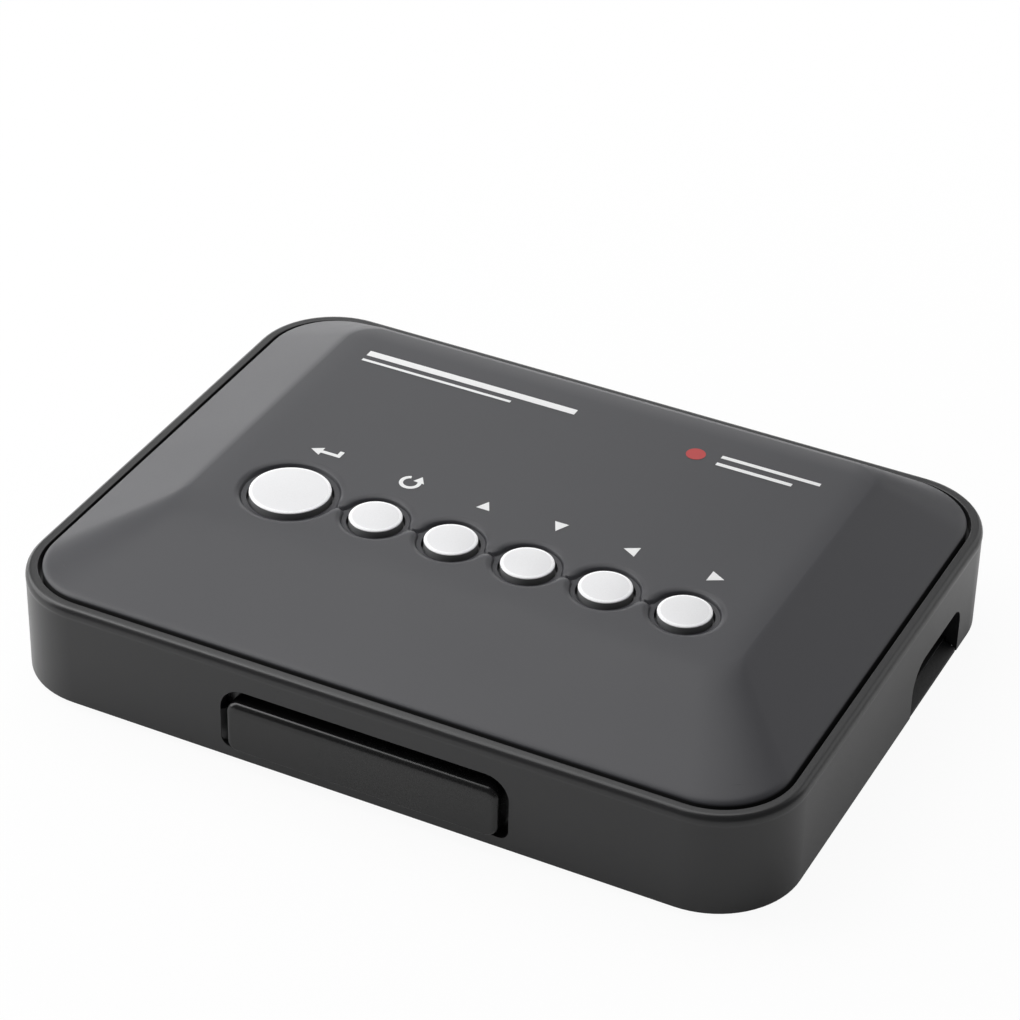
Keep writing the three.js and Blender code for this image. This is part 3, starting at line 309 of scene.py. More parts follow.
def moulded(name, color, rough, scale, bump, **more):
    values = {"Color": color, "Roughness": rough, "Grain Scale": scale, "Roughness Spread": 0.1,
              "Tint Spread": 0.16}
    return finishWith(name, mouldGrain, values, {"strength": bump[0], "depth": bump[1]}, **more)

def rolled(name, color, rough):
    values = {"Color": color, "Roughness": rough, "Line Scale": 1100.0, "Roughness Spread": 0.22,
              "Tint Spread": 0.2}
    return finishWith(name, rolledLines, values, {"strength": 0.25, "depth": 0.02}, Metallic=1.0)

def makeFinishes():
    # moulded: colour, roughness, grain scale, and the strength and depth of its bump
    return {
        "case_plastic": moulded("caseBlack", grey(0.020), 0.31, 5200.0, (0.20, 0.03)),
        "cover_plastic": moulded("coverCharcoal", grey(0.034, 1.16), 0.44, 4600.0, (0.22, 0.03)),
        # painted shade: the cover's side in the groove gets a far darker grey than the cover, standing in
        # for its shadow
        "cover_side": moulded("coverSidePaintedShade", grey(0.008), 0.7, 4600.0, (0.3, 0.03)),
        "base_plastic": moulded("baseBlack", grey(0.022), 0.55, 2600.0, (0.4, 0.06)),
        "window_plastic": moulded("smokedWindow", grey(0.006), 0.26, 4200.0, (0.04, 0.01)),
        "foot_rubber": moulded("footRubber", grey(0.012), 0.85, 1800.0, (0.5, 0.08)),
        "button_paint": moulded("buttonSilver", (0.78, 0.78, 0.79, 1), 0.36, 6000.0, (0.12, 0.02),
                                Metallic=0.05),
        # painted highlight: the caps' edge ring is a brighter copy of the silver
        "button_edge": moulded("buttonEdgePaintedHighlight", (0.96, 0.96, 0.97, 1), 0.28, 6000.0, (0.05, 0.01)),
        # painted shade: the caps' side is a dark copy of the silver, standing in for the shade of the
        # well
        "button_side": moulded("buttonSidePaintedShade", (0.22, 0.22, 0.225, 1), 0.5, 5000.0, (0.2, 0.02)),
        "black_nylon": moulded("blackNylon", grey(0.014), 0.5, 3000.0, (0.3, 0.03)),
        "white_nylon": moulded("naturalNylon", (0.74, 0.70, 0.62, 1), 0.42, 3000.0, (0.2, 0.03),
                               **{"Subsurface Weight": 0.1}),
        "chip_epoxy": moulded("chipEpoxy", grey(0.012), 0.6, 7000.0, (0.5, 0.02)),
        "dark_sleeve": moulded("darkSleeve", (0.02, 0.022, 0.03, 1), 0.3, 1500.0, (0.1, 0.02)),
        "clear_epoxy": moulded("clearEpoxy", (0.72, 0.80, 0.84, 1), 0.1, 1500.0, (0.05, 0.02)),
        "screw_steel": rolled("zincSteel", (0.52, 0.52, 0.50, 1), 0.34),
        "plug_steel": rolled("nickelSheet", (0.62, 0.61, 0.58, 1), 0.28),
        "sink_aluminium": rolled("sinkAluminium", (0.60, 0.61, 0.63, 1), 0.4),
        "ribbon_film": makeRibbonFilm(),
        "board_laminate": makeBoardLaminate(),
        "white_ink": moulded("whiteInk", (0.80, 0.80, 0.80, 1), 0.5, 5200.0, (0.1, 0.01)),
        "red_ink": moulded("redInk", (0.42, 0.03, 0.03, 1), 0.5, 5200.0, (0.1, 0.01)),
    }

ribbon = {"film": (0.56, 0.52, 0.44, 1), "conductor": (0.72, 0.70, 0.64, 1), "roughness": 0.45,
          "grain": 1500.0, "bump": {"strength": 0.1, "depth": 0.02}, "stripes": 320.0}
laminate = {"mask": (0.012, 0.09, 0.035, 1), "darkMask": (0.010, 0.075, 0.03, 1),
            "track": (0.03, 0.16, 0.06, 1), "roughness": 0.32, "grain": 2600.0,
            "bump": {"strength": 0.15, "depth": 0.03}, "tracks": 220.0, "trackWidth": 0.06}

def patterned(name, look, color):
    # a moulded finish, with the nodes that a pattern for its colour is wired to
    values = {"Color": color, "Roughness": look["roughness"], "Grain Scale": look["grain"]}
    material = finishWith(name, mouldGrain, values, look["bump"])
    tree = material.node_tree
    return material, tree, tree.nodes["Principled BSDF"], addNode(tree, "TexCoord")

def makeRibbonFilm():
    # Flat cable: pale film with paler conductors under it
    material, tree, shader, place = patterned("ribbonFilm", ribbon, ribbon["film"])
    stripes = addNode(tree, "TexWave", Scale=ribbon["stripes"], bands_direction="X")
    wire(tree, place, "Object", stripes, "Vector")
    mix = addNode(tree, "Mix", data_type="RGBA")
    mix.inputs["A"].default_value = ribbon["film"]
    mix.inputs["B"].default_value = ribbon["conductor"]
    wire(tree, stripes, "Color", mix, "Factor")
    wire(tree, mix, "Result", shader, "Base Color")
    return material

def makeBoardLaminate():
    # Green solder mask with paler tracks under it
    material, tree, shader, place = patterned("boardLaminate", laminate, laminate["mask"])
    tracks = addNode(tree, "TexBrick", offset=0.5, **{
        "Scale": laminate["tracks"], "Mortar Size": laminate["trackWidth"],
        "Color1": laminate["mask"], "Color2": laminate["darkMask"], "Mortar": laminate["track"]})
    wire(tree, place, "Object", tracks, "Vector")
    wire(tree, tracks, "Color", shader, "Base Color")
    return material

finishes = makeFinishes()

def dressNodes():
    for subpart in frame["record"]["subparts"]:
        mesh = nodes[subpart["node"]].data
        mesh.materials.clear()
        mesh.materials.append(finishes[subpart["material_slot"]])

dressNodes()
print("finishes placed on", len(nodes), "nodes")


# Mesh helpers

smoothAngle = 32   # edges sharper than this stay sharp

def solid(name, bm):
    bmesh.ops.recalc_face_normals(bm, faces=bm.faces)
    mesh = bpy.data.meshes.new(name)
    bm.to_mesh(mesh)
    bm.free()
    return newObject(name, mesh)

def dress(piece, slotName, body, stands, finish=None):
    # the finish, smooth faces, the body it rides on and the nodes it stands for
    piece.data.materials.append(finishes[finish or slotName])
    piece.data.shade_smooth()
    piece.data.set_sharp_from_angle(angle=math.radians(smoothAngle))
    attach(piece, body)
    if stands:
        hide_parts(*stands)

def addPiece(name, bm, slotName, body="body", stands=(), finish=None):
    piece = solid(name, bm)
    dress(piece, slotName, body, stands, finish)
    return piece

def ringOf(bm, points):
    return [bm.verts.new((x * mm, y * mm, z * mm)) for x, y, z in points]

def bridge(bm, lower, upper):
    count = len(lower)
    for k in range(count):
        after = (k + 1) % count
        bm.faces.new((lower[k], lower[after], upper[after], upper[k]))

def loft(bm, rings, closed=False):
    # rings of (x, y, z) points from the bottom up, with flat ends unless it closes on itself
    made = [ringOf(bm, points) for points in rings]
    for lower, upper in zip(made, made[1:]):
        bridge(bm, lower, upper)
    if closed:
        bridge(bm, made[-1], made[0])
    else:
        bm.faces.new(list(reversed(made[0])))
        bm.faces.new(made[-1])

def roundedOutline(left, right, front, rear, radius, cornerSteps=16, runX=24, runY=18):
    # anticlockwise from the right rear corner, with points along the straight runs too
    corners = [(right - radius, rear - radius), (left + radius, rear - radius),
               (left + radius, front + radius), (right - radius, front + radius)]
    points = []
    for quarter, (x, y) in enumerate(corners):
        for step in range(cornerSteps + 1):
            angle = math.pi / 2 * (quarter + step / cornerSteps)
            points.append((x + radius * math.cos(angle), y + radius * math.sin(angle)))
        nextX, nextY = corners[(quarter + 1) % 4]
        angle = math.pi / 2 * (quarter + 1)
        start = points[-1]
        end = (nextX + radius * math.cos(angle), nextY + radius * math.sin(angle))
        run = runX if quarter % 2 == 0 else runY
        for step in range(1, run):
            share = step / run
            points.append(tuple(a + (b - a) * share for a, b in zip(start, end)))
    return points

def circle(x, y, radius, steps):
    return [(x + radius * math.cos(2 * math.pi * k / steps),
             y + radius * math.sin(2 * math.pi * k / steps)) for k in range(steps)]

def turnedBody(bm, profile, x, y, steps):
    # profile of (radius, z) from the bottom of the axis to its top
    rings = []
    for radius, z in profile:
        if radius == 0:
            rings.append([bm.verts.new((x * mm, y * mm, z * mm))])
        else:
            rings.append(ringOf(bm, [(px, py, z) for px, py in circle(x, y, radius, steps)]))
    for lower, upper in zip(rings, rings[1:]):
        if len(lower) == len(upper):
            bridge(bm, lower, upper)
            continue
        for k in range(steps):
            after = (k + 1) % steps
            if len(lower) == 1:
                bm.faces.new((lower[0], upper[after], upper[k]))
            else:
                bm.faces.new((lower[k], lower[after], upper[0]))

def arc(centre, radius, fromAngle, toAngle, steps):
    cx, cy = centre
    return [(cx + radius * math.cos(math.radians(fromAngle + (toAngle - fromAngle) * k / steps)),
             cy + radius * math.sin(math.radians(fromAngle + (toAngle - fromAngle) * k / steps)))
            for k in range(steps + 1)]

def nodeBox(name):
    low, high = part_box(name)
    return low / mm, high / mm

def nodeCentre(name):
    low, high = nodeBox(name)
    return (low + high) / 2


# Places that the cover, case and buttons share, from the frame

bodyLow, bodyHigh = nodeBox("case_body")
coverLow, coverHigh = nodeBox("top_cover")
rimTop = bodyHigh.z
plateau = coverHigh.z

buttonNames = ["enter", "menu", "up", "down", "left", "right"]
capClearance = 0.9   # how far a cap's hidden flange reaches past the cap

def buttonPlaces():
    places = []
    for name in buttonNames:
        low, high = nodeBox("button_" + name)
        places.append({"name": name, "x": (low.x + high.x) / 2, "y": (low.y + high.y) / 2,
                       "radius": (high.x - low.x) / 2 - capClearance, "foot": low.z, "top": high.z})
    return places

buttons = buttonPlaces()


# Cover

cover = {
    "cornerRadius": 11.35,
    "thickness": 2.2, "lipThickness": 2.0,
    "footRise": 0.4,       # where the slopes would meet the sides, above the rim
    "footDrop": 0.3,       # how far the slopes ease down before their edge, and from where
    "footReach": 1.3,
    "footChamfer": 0.12,   # and a little more at the very edge
    "sideSlope": 14.95, "frontSlope": 22.2, "rearSlope": 7.8,
    "sideCreaseShare": 0.09, "frontCreaseShare": 0.16, "rearCreaseShare": 0.16,
    "plateauRadius": 5.0,
    "gridStep": 2.4,
    "gridInset": 1.2,      # of the grid's first row, within the last ring
    "cornerInset": 1,
}

# how far up the slopes the cover's rings lie: heights near the foot, then shares of the front slope
footHeights = [0, 0.003, 0.008, 0.015, 0.024, 0.035, 0.05, 0.07, 0.09, 0.12, 0.155]
slopeShares = [0.2, 0.35, 0.5, 0.65, 0.78, 0.84, 0.88, 0.92, 0.96, 1.0, 1.035, 1.07]

well = {
    "reach": 2.35,         # where a bowl leaves the plateau, past its cap
    "bigReach": 0.15,      # a little more around the large button
    "edgeMargin": 1.35,    # where its rounded edge turns into the steep wall
    "edgeDepth": 0.3,
    "wallMargin": 1.1,     # where the wall meets the ring around the cap
    "wallDepth": 0.8,
    "ringDepth": 0.86,
    "neckMargin": 1.15,    # the channel between two bowls, as a margin on its middle line
    "fillet": 1.3,         # how softly bowls and channel run together
    "holeClearance": 0.42,
    "steps": 132, "rings": 20,
    "fineReach": 0.35,     # how far the fine rings run on past a bowl
    "ringGap": 0.1,        # between one button's fine rings and the next one's
    "neckGrid": 0.16,      # step of the fine patch at each neck
    "neckSpan": 3.4,       # and how far it runs to either side of the row
    "neckGap": 0.08,
    "coarseGap": 0.6,      # where the coarse grid keeps off the fine points
    "rowGap": 0.4,
}

wellEdge = well["reach"] + well["fineReach"]

def creaseHeight(share, blend):
    # height share at a share of the way up a slope, rounded over its crease
    start = 1 - blend
    if share <= start:
        return share
    if share >= 1 + blend:
        return 1.0
    return share - (share - start) ** 2 / (4 * blend)

def creaseShare(height, blend):
    # the other way around: how far up a slope that height share lies
    start = 1 - blend
    if height <= start:
        return height
    return start + 2 * blend * (1 - math.sqrt(max(0.0, 1 - (height - start) / blend)))

def marginFrom(button, x, y):
    extra = well["bigReach"] if button is buttons[0] else 0
    return math.hypot(x - button["x"], y - button["y"]) - button["radius"] - extra

def meltedTogether(first, second, fillet):
    # the smaller of two margins, eased where they are alike
    near = max(0.0, 1 - abs(first - second) / fillet)
    return min(first, second) - fillet * near * near / 4

def wellDepthAt(x, y):
    # four stretches by margin from the caps: none, rounded edge, wall and ring
    margin = min(marginFrom(button, x, y) for button in buttons)
    first, last = buttons[0], buttons[-1]
    if first["x"] < x < last["x"]:
        channel = well["neckMargin"] + abs(y - first["y"])
        margin = meltedTogether(margin, channel, well["fillet"])
    reach, edge, wall = well["reach"], well["edgeMargin"], well["wallMargin"]
    if margin >= reach:
        return 0.0
    if margin >= edge:
        return well["edgeDepth"] * ((reach - margin) / (reach - edge)) ** 2
    if margin >= wall:
        wallHeight = well["wallDepth"] - well["edgeDepth"]
        return well["edgeDepth"] + wallHeight * (edge - margin) / (edge - wall)
    share = min(1.0, (wall - margin) / (wall - well["holeClearance"]))
    return well["wallDepth"] + (well["ringDepth"] - well["wallDepth"]) * share

def crownOutline(height):
    sideShare, frontShare, rearShare = (creaseShare(height, cover[side + "CreaseShare"])
                                        for side in ("side", "front", "rear"))
    radius = cover["cornerRadius"] + (cover["plateauRadius"] - cover["cornerRadius"]) * sideShare
    side = cover["sideSlope"] * sideShare
    return roundedOutline(coverLow.x + side, coverHigh.x - side,
                          coverLow.y + cover["frontSlope"] * frontShare,
                          coverHigh.y - cover["rearSlope"] * rearShare, radius)

def crownLevel(height):
    foot = rimTop + cover["footRise"]
    return foot + (plateau - foot) * height

def topLevel(x, y):
    # the plateau and the tops of its creases, less the wells
    front = creaseHeight((y - coverLow.y) / cover["frontSlope"], cover["frontCreaseShare"])
    rear = creaseHeight((coverHigh.y - y) / cover["rearSlope"], cover["rearCreaseShare"])
    side = creaseHeight((coverHigh.x - abs(x)) / cover["sideSlope"], cover["sideCreaseShare"])
    return crownLevel(min(front, rear, side)) - wellDepthAt(x, y)

def crownRings():
    # from the lip's foot, over its edge and up to just inside the creases
    edge = crownOutline(0)
    rings = [[(x, y, coverLow.z) for x, y in edge]]
    heights = footHeights + [creaseHeight(share, cover["frontCreaseShare"]) for share in slopeShares]
    for height in heights:
        ring = []
        for (x, y), (edgeX, edgeY) in zip(crownOutline(height), edge):
            inset = math.hypot(x - edgeX, y - edgeY)
            drop = cover["footDrop"] * max(0.0, 1 - inset / cover["footReach"]) ** 3
            if height == 0:
                drop += cover["footChamfer"]
            ring.append((x, y, crownLevel(height) - drop))
        rings.append(ring)
    return rings

flatTolerance = 1e-4   # below this two points in the plane count as one
holeTolerance = 1e-3

def fillPlane(bm, outer, inner, free, levelAt):
    # triangles between an outer loop of vertices and inner loops, through free points
    flat, edges, made = [], [], []
    for loop in [outer] + inner:
        start = len(flat)
        flat += [Vector((v.co.x, v.co.y)) / mm for v in loop]
        made += loop
        edges += [(start + k, start + (k + 1) % len(loop)) for k in range(len(loop))]
    flat += [Vector(point) for point in free]
    made += [bm.verts.new((x * mm, y * mm, levelAt(x, y) * mm)) for x, y in free]
    _, _, faces, origin, _, _ = delaunay_2d_cdt(flat, edges, [], 0, flatTolerance)
    holes = []
    for loop in inner:
        centre = sum((v.co for v in loop), Vector()) / len(loop) / mm
        holes.append((centre.x, centre.y, (loop[0].co / mm - centre).xy.length))
    for face in faces:
        corners = [made[origin[k][0]] for k in face]
        middle = sum((v.co for v in corners), Vector()) / len(corners) / mm
        inHole = any(math.hypot(middle.x - x, middle.y - y) < radius - holeTolerance
                     for x, y, radius in holes)
        if not inHole and len(set(corners)) == len(corners):
            bm.faces.new(corners)

def wellRingPoints():
    points = []
    for button in buttons:
        inner = button["radius"] + well["holeClearance"]
        outer = button["radius"] + wellEdge
        others = [other for other in buttons if other is not button]
        for ring in range(1, well["rings"] + 1):
            radius = inner + (outer - inner) * ring / well["rings"]
            for x, y in circle(button["x"], button["y"], radius, well["steps"]):
                gap = radius - button["radius"] + well["ringGap"]
                if all(marginFrom(other, x, y) > gap for other in others):
                    points.append((x, y))
    return points

def neckPoints():
    points = []
    step = well["neckGrid"]
    rows = round(2 * well["neckSpan"] / step)
    for left, right in zip(buttons, buttons[1:]):
        columns = round((right["x"] - left["x"]) / step)
        for row in range(rows + 1):
            for column in range(columns + 1):
                x = left["x"] + (right["x"] - left["x"]) * column / columns
                y = left["y"] + (row - rows / 2) * step
                if min(marginFrom(left, x, y), marginFrom(right, x, y)) > wellEdge + well["neckGap"]:
                    points.append((x, y))
    return points

def gridPoints(outline):
    points = []
    inset, radius = cover["gridInset"], cover["plateauRadius"]
    left, right = min(x for x, y in outline) + inset, max(x for x, y in outline) - inset
    front, rear = min(y for x, y in outline) + inset, max(y for x, y in outline) - inset
    columns = round((right - left) / cover["gridStep"])
    rows = round((rear - front) / cover["gridStep"])
    first, last = buttons[0], buttons[-1]
    for column in range(columns + 1):
        for row in range(rows + 1):
            x = left + (right - left) * column / columns
            y = front + (rear - front) * row / rows
            cornerX = max(0, abs(x) - (right - radius))
            cornerY = max(0, front + radius - y, y - (rear - radius))
            inCorner = math.hypot(cornerX, cornerY) > radius - cover["cornerInset"]
            nearWell = any(marginFrom(button, x, y) < wellEdge + well["coarseGap"] for button in buttons)
            nearLine = abs(y - first["y"]) < well["neckSpan"] + well["rowGap"]
            inRow = nearLine and first["x"] < x < last["x"]
            if not (inCorner or nearWell or inRow):
                points.append((x, y))
    return points

def makeCover():
    bm = bmesh.new()
    outside = [ringOf(bm, ring) for ring in crownRings()]
    bridge(bm, outside[0], outside[1])
    for face in bm.faces:
        face.material_index = 1   # the side within the groove, dull, and made dark as painted shade
    for lower, upper in zip(outside[1:], outside[2:]):
        bridge(bm, lower, upper)
    underside = plateau - cover["thickness"]
    inner = cover["lipThickness"]
    lip = roundedOutline(coverLow.x + inner, coverHigh.x - inner,
                         coverLow.y + inner, coverHigh.y - inner, cover["cornerRadius"] - inner)
    lipTop = rimTop + cover["footRise"] - cover["thickness"] / 2
    ceiling = crownOutline(1 - cover["sideCreaseShare"])
    inside = [ringOf(bm, [(x, y, z) for x, y in plan])
              for plan, z in ((lip, coverLow.z), (lip, lipTop), (ceiling, underside))]
    for lower, upper in zip(inside, inside[1:]):
        bridge(bm, lower, upper)
    bridge(bm, outside[0], inside[0])
    topHoles, lowHoles = [], []
    for button in buttons:
        rim = circle(button["x"], button["y"], button["radius"] + well["holeClearance"], well["steps"])
        topHoles.append(ringOf(bm, [(x, y, topLevel(x, y)) for x, y in rim]))
        lowHoles.append(ringOf(bm, [(x, y, underside) for x, y in rim]))
        bridge(bm, topHoles[-1], lowHoles[-1])
    outline = [(v.co.x / mm, v.co.y / mm) for v in outside[-1]]
    free = wellRingPoints() + neckPoints() + gridPoints(outline)
    fillPlane(bm, outside[-1], topHoles, free, topLevel)
    fillPlane(bm, inside[-1], lowHoles, [], lambda x, y: underside)
    piece = addPiece("coverShell", bm, "cover_plastic", stands=["top_cover"])
    piece.data.materials.append(finishes["cover_side"])
    return piece

coverShell = makeCover()
print("cover:", len(coverShell.data.polygons), "faces")


# Bosses of the cover: tubes that take the case screws and the key board's screws

bosses = {
    "caseRadius": 3.2, "casePilot": 1.55, "caseFoot": 8.2, "casePilotTop": 15.7,
    "frontTop": 20.2, "rearTop": 19.7,
    "keyRadius": 2.2, "keyPilot": 1.1, "keyTop": 23.9,
    "keyClearance": 0.3,     # past the screw's tip
    "steps": 32,
}

def makeBoss(name, screw, radius, pilot, foot, pilotTop, top):
    # closed at its top, with the screw's pilot hole from below
    centre = nodeCentre(screw)
    bm = bmesh.new()
    profile = [(0, pilotTop), (pilot, pilotTop), (pilot, foot), (radius, foot), (radius, top), (0, top)]
    turnedBody(bm, profile, centre.x, centre.y, bosses["steps"])
    addPiece(name, bm, "cover_plastic", stands=["top_cover"])

def makeBosses():
    for end in ("front", "rear"):
        for side in ("left", "right"):
            place = end + "_" + side
            makeBoss("caseBoss_" + place, "case_screw_" + place, bosses["caseRadius"],
                     bosses["casePilot"], bosses["caseFoot"], bosses["casePilotTop"], bosses[end + "Top"])
    boardTop = nodeBox("key_board")[1].z
    for number in "123":
        screw = "key_screw_" + number
        makeBoss("keyBoss_" + number, screw, bosses["keyRadius"], bosses["keyPilot"],
                 boardTop, nodeBox(screw)[1].z + bosses["keyClearance"], bosses["keyTop"])

makeBosses()


# Case: one closed skin, cut for its window, pocket and sockets

case = {
    "cornerRadius": 14.0,
    "bead": 0.06,            # how far the rim stands out past the walls
    "rimReach": 0.95,        # the rim's rounding, inwards and downwards
    "rimDrop": 1.3,
    "rimSteps": 14,
    "rimRun": 0.2,           # short flat spans that keep the rounding's ends crisp
    "lipRun": 0.1,
    "wall": 2.0,
    "innerRounding": 0.15,
    "shelfReach": 2.4, "shelfDrop": 2.2, "shelfThickness": 1.2, "shelfUndercut": 0.2,
    "skirt": 0.9,            # outer skin that hides the edge of the base plate
    "skirtLedge": 0.9,
    "footRounding": 0.15, "roundingSteps": 3,
    "overcut": 0.4,          # how far a cut runs on past the inside of a wall
    "outcut": 1,             # and past the outside
    "edgeSoftness": 0.14,
    "softenedFrom": 38,      # edges sharper than this get softened
}

slot = {
    "half": 24.3, "floor": 1.9, "roof": 12.9,
    "topRadius": 4.0, "bottomRadius": 1.6,
    "easeWidth": 1.25,       # its left end slopes in to the window
    "easeDepth": 1.5, "easeTop": 8.4,
    "easeInset": 0.12,       # behind the face of the wall
    "easeBed": 0.6,          # how far the slope is bedded in the wall beside and below it
    "easeGap": 0.05,
}

pocket = {
    "width": 20.2, "depth": 6.5, "roof": 9.0,
    "frontRadius": 4.6, "rearRadius": 3.0,
    "wall": 1.2, "endWall": 1.0, "hoodFoot": 2.1,
    "mouthOvercut": 0.3,
}

ports = {"clearance": 0.4, "avRadius": 3.3, "dcRadius": 4.1, "cardMargin": 0.8, "roundSteps": 64}

caseFloor = nodeBox("base_plate")[0].z

def bodyOutline(inset, cornerSteps=18):
    return roundedOutline(bodyLow.x + inset, bodyHigh.x - inset, bodyLow.y + inset, bodyHigh.y - inset,
                          case["cornerRadius"] - inset, cornerSteps, 1, 1)

def caseProfile():
    # (inset, level) round the wall: up the outside, over the rim and down the inside
    bead, foot, steps = case["bead"], case["footRounding"], case["roundingSteps"]
    reach, drop, run = case["rimReach"], case["rimDrop"], case["rimRun"]
    # the rim's arc starts below its widest point, where it meets the set-back wall
    under = math.degrees(math.acos((reach - bead) / reach))
    profile = [(bead + foot - x, caseFloor + foot - y) for x, y in arc((0, 0), foot, 90, 0, steps)]
    rimArc = [(reach + x * reach, rimTop - drop + y * drop)
              for x, y in arc((0, 0), 1, 180 + under, 90, case["rimSteps"])]
    profile += [(bead, caseFloor + 2 * foot), (bead, rimArc[0][1] - run)]
    profile += rimArc
    wall, inner = case["wall"], case["innerRounding"]
    profile += [(reach + run, rimTop), (wall - inner - case["lipRun"], rimTop)]
    profile += arc((wall - inner, rimTop - inner), inner, 90, 0, steps)
    shelfTop = rimTop - case["shelfDrop"]
    shelfInset = wall + case["shelfReach"]
    shelfFoot = shelfTop - case["shelfThickness"]
    profile += [(wall, shelfTop), (shelfInset, shelfTop), (shelfInset, shelfFoot),
                (wall, shelfFoot - case["shelfUndercut"]), (wall, caseFloor + case["skirtLedge"]),
                (case["skirt"], caseFloor + case["skirtLedge"]), (case["skirt"], caseFloor)]
    return profile

def loftedSolid(name, rings, closed=False):
    bm = bmesh.new()
    loft(bm, rings, closed)
    return solid(name, bm)

def combine(target, others):
    # applies (operation, object) pairs to the target and drops the objects
    for operation, other in others:
        modifier = target.modifiers.new(operation, "BOOLEAN")
        modifier.operation = operation
        modifier.solver = "EXACT"
        modifier.object = other
        applyModifiers(target)
        bpy.data.objects.remove(other)

def applyModifiers(piece):
    bpy.context.view_layer.update()
    depsgraph = bpy.context.evaluated_depsgraph_get()
    mesh = bpy.data.meshes.new_from_object(piece.evaluated_get(depsgraph))
    piece.modifiers.clear()
    piece.data = mesh

def block(name, low, high):
    plan = [(low[0], low[1]), (high[0], low[1]), (high[0], high[1]), (low[0], high[1])]
    return loftedSolid(name, [[(x, y, z) for x, y in plan] for z in (low[2], high[2])])

def windowOutline(half, floor, roof, topRadius, bottomRadius, steps=14):
    # (x, z) anticlockwise as seen from the front
    points = []
    for x, z, radius, start in ((half, roof, topRadius, 0), (-half, roof, topRadius, 90),
                                (-half, floor, bottomRadius, 180), (half, floor, bottomRadius, 270)):
        centre = (x - math.copysign(radius, x), z - radius if start < 180 else z + radius)
        points += arc(centre, radius, start, start + 90, steps)
    return points

def pocketOutline(foot, margin, steps=14):
    # (y, z) of the pocket's arch
    centreLine = nodeCentre("usb_shell").y
    front = centreLine - pocket["width"] / 2 - margin
    rear = centreLine + pocket["width"] / 2 + margin
    roof = caseFloor + pocket["roof"] + margin
    frontRadius, rearRadius = pocket["frontRadius"] + margin, pocket["rearRadius"] + margin
    points = [(front, foot), (rear, foot)]
    points += arc((rear - rearRadius, roof - rearRadius), rearRadius, 0, 90, steps)
    points += arc((front + frontRadius, roof - frontRadius), frontRadius, 90, 180, steps)
    return points

def runAlongX(name, outline, fromX, toX):
    return loftedSolid(name, [[(x, y, z) for y, z in outline] for x in (fromX, toX)])

def runAlongY(name, outline, fromY, toY):
    return loftedSolid(name, [[(x, y, z) for x, z in outline] for y in (fromY, toY)])

def portCuts():
    over = case["outcut"]
    clear = ports["clearance"]
    rearIn, rearOut = bodyHigh.y - case["wall"] - case["overcut"], bodyHigh.y + over
    cuts = []
    low, high = nodeBox("hdmi_shell")
    cuts.append(block("hdmiCut", (low.x - clear, rearIn, low.z - clear),
                      (high.x + clear, rearOut, high.z + clear)))
    for name, radius in (("av_jack", ports["avRadius"]), ("power_jack", ports["dcRadius"])):
        middle = nodeCentre(name)
        ring = circle(middle.x, middle.z, radius, ports["roundSteps"])
        cuts.append(runAlongY(name + "Cut", ring, rearIn, rearOut))
    low, high = nodeBox("card_socket")
    margin = ports["cardMargin"] - clear
    cuts.append(block("cardCut", (bodyLow.x - over, low.y + margin, low.z),
                      (bodyLow.x + case["wall"] + case["overcut"], high.y - margin, high.z)))
    low, high = nodeBox("usb_shell")
    endWall = bodyHigh.x - pocket["depth"]
    cuts.append(block("usbCut", (endWall - pocket["endWall"] - over, low.y - clear, low.z - clear),
                      (endWall + over, high.y + clear, high.z + clear)))
    return cuts

def slotEase():
    # a wedge at the slot's left end, beside the window
    left, face = -slot["half"], bodyLow.y + case["bead"] + slot["easeInset"]
    right, outer = left + slot["easeWidth"], left - slot["easeBed"]
    back = bodyLow.y + case["wall"] - slot["easeGap"]
    corners = [(outer, face), (left, face), (right, face + slot["easeDepth"]),
               (right, back), (outer, back)]
    levels = (caseFloor + slot["floor"] - slot["easeBed"], caseFloor + slot["easeTop"])
    return loftedSolid("slotEase", [[(x, y, z) for x, y in corners] for z in levels])

def makeCase():
    rings = [[(x, y, level) for x, y in bodyOutline(inset)] for inset, level in caseProfile()]
    shell = loftedSolid("caseShell", rings, closed=True)
    over = case["outcut"]
    endWall = bodyHigh.x - pocket["depth"]
    hoodFoot = caseFloor + pocket["hoodFoot"]
    hood = runAlongX("hood", pocketOutline(hoodFoot, pocket["wall"]), endWall - pocket["endWall"],
                     bodyHigh.x - case["wall"] / 2)
    hollow = runAlongX("hollow", pocketOutline(hoodFoot - over, 0), endWall, bodyHigh.x)
    combine(hood, [("DIFFERENCE", hollow)])
    mouth = runAlongX("mouth", pocketOutline(caseFloor - over, 0),
                      bodyHigh.x - case["wall"] - pocket["mouthOvercut"], bodyHigh.x + over)
    slotShape = windowOutline(slot["half"], caseFloor + slot["floor"], caseFloor + slot["roof"],
                              slot["topRadius"], slot["bottomRadius"])
    opening = runAlongY("opening", slotShape, bodyLow.y - over,
                        bodyLow.y + case["wall"] + case["overcut"])
    combine(shell, [("UNION", hood), ("DIFFERENCE", mouth), ("DIFFERENCE", opening),
                    ("UNION", slotEase())] + [("DIFFERENCE", cut) for cut in portCuts()])
    soften(shell, case["edgeSoftness"], case["softenedFrom"])
    applyModifiers(shell)
    shell.data.materials.clear()
    dress(shell, "case_plastic", "body", ["case_body"])
    weigh = shell.modifiers.new("weigh", "WEIGHTED_NORMAL")
    weigh.keep_sharp = True
    return shell

def soften(piece, width, angle):
    bevel = piece.modifiers.new("soften", "BEVEL")
    bevel.width = width * mm
    bevel.segments = 2
    bevel.limit_method = "ANGLE"
    bevel.angle_limit = math.radians(angle)

caseShell = makeCase()
print("case:", len(caseShell.data.polygons), "faces")


# Front window

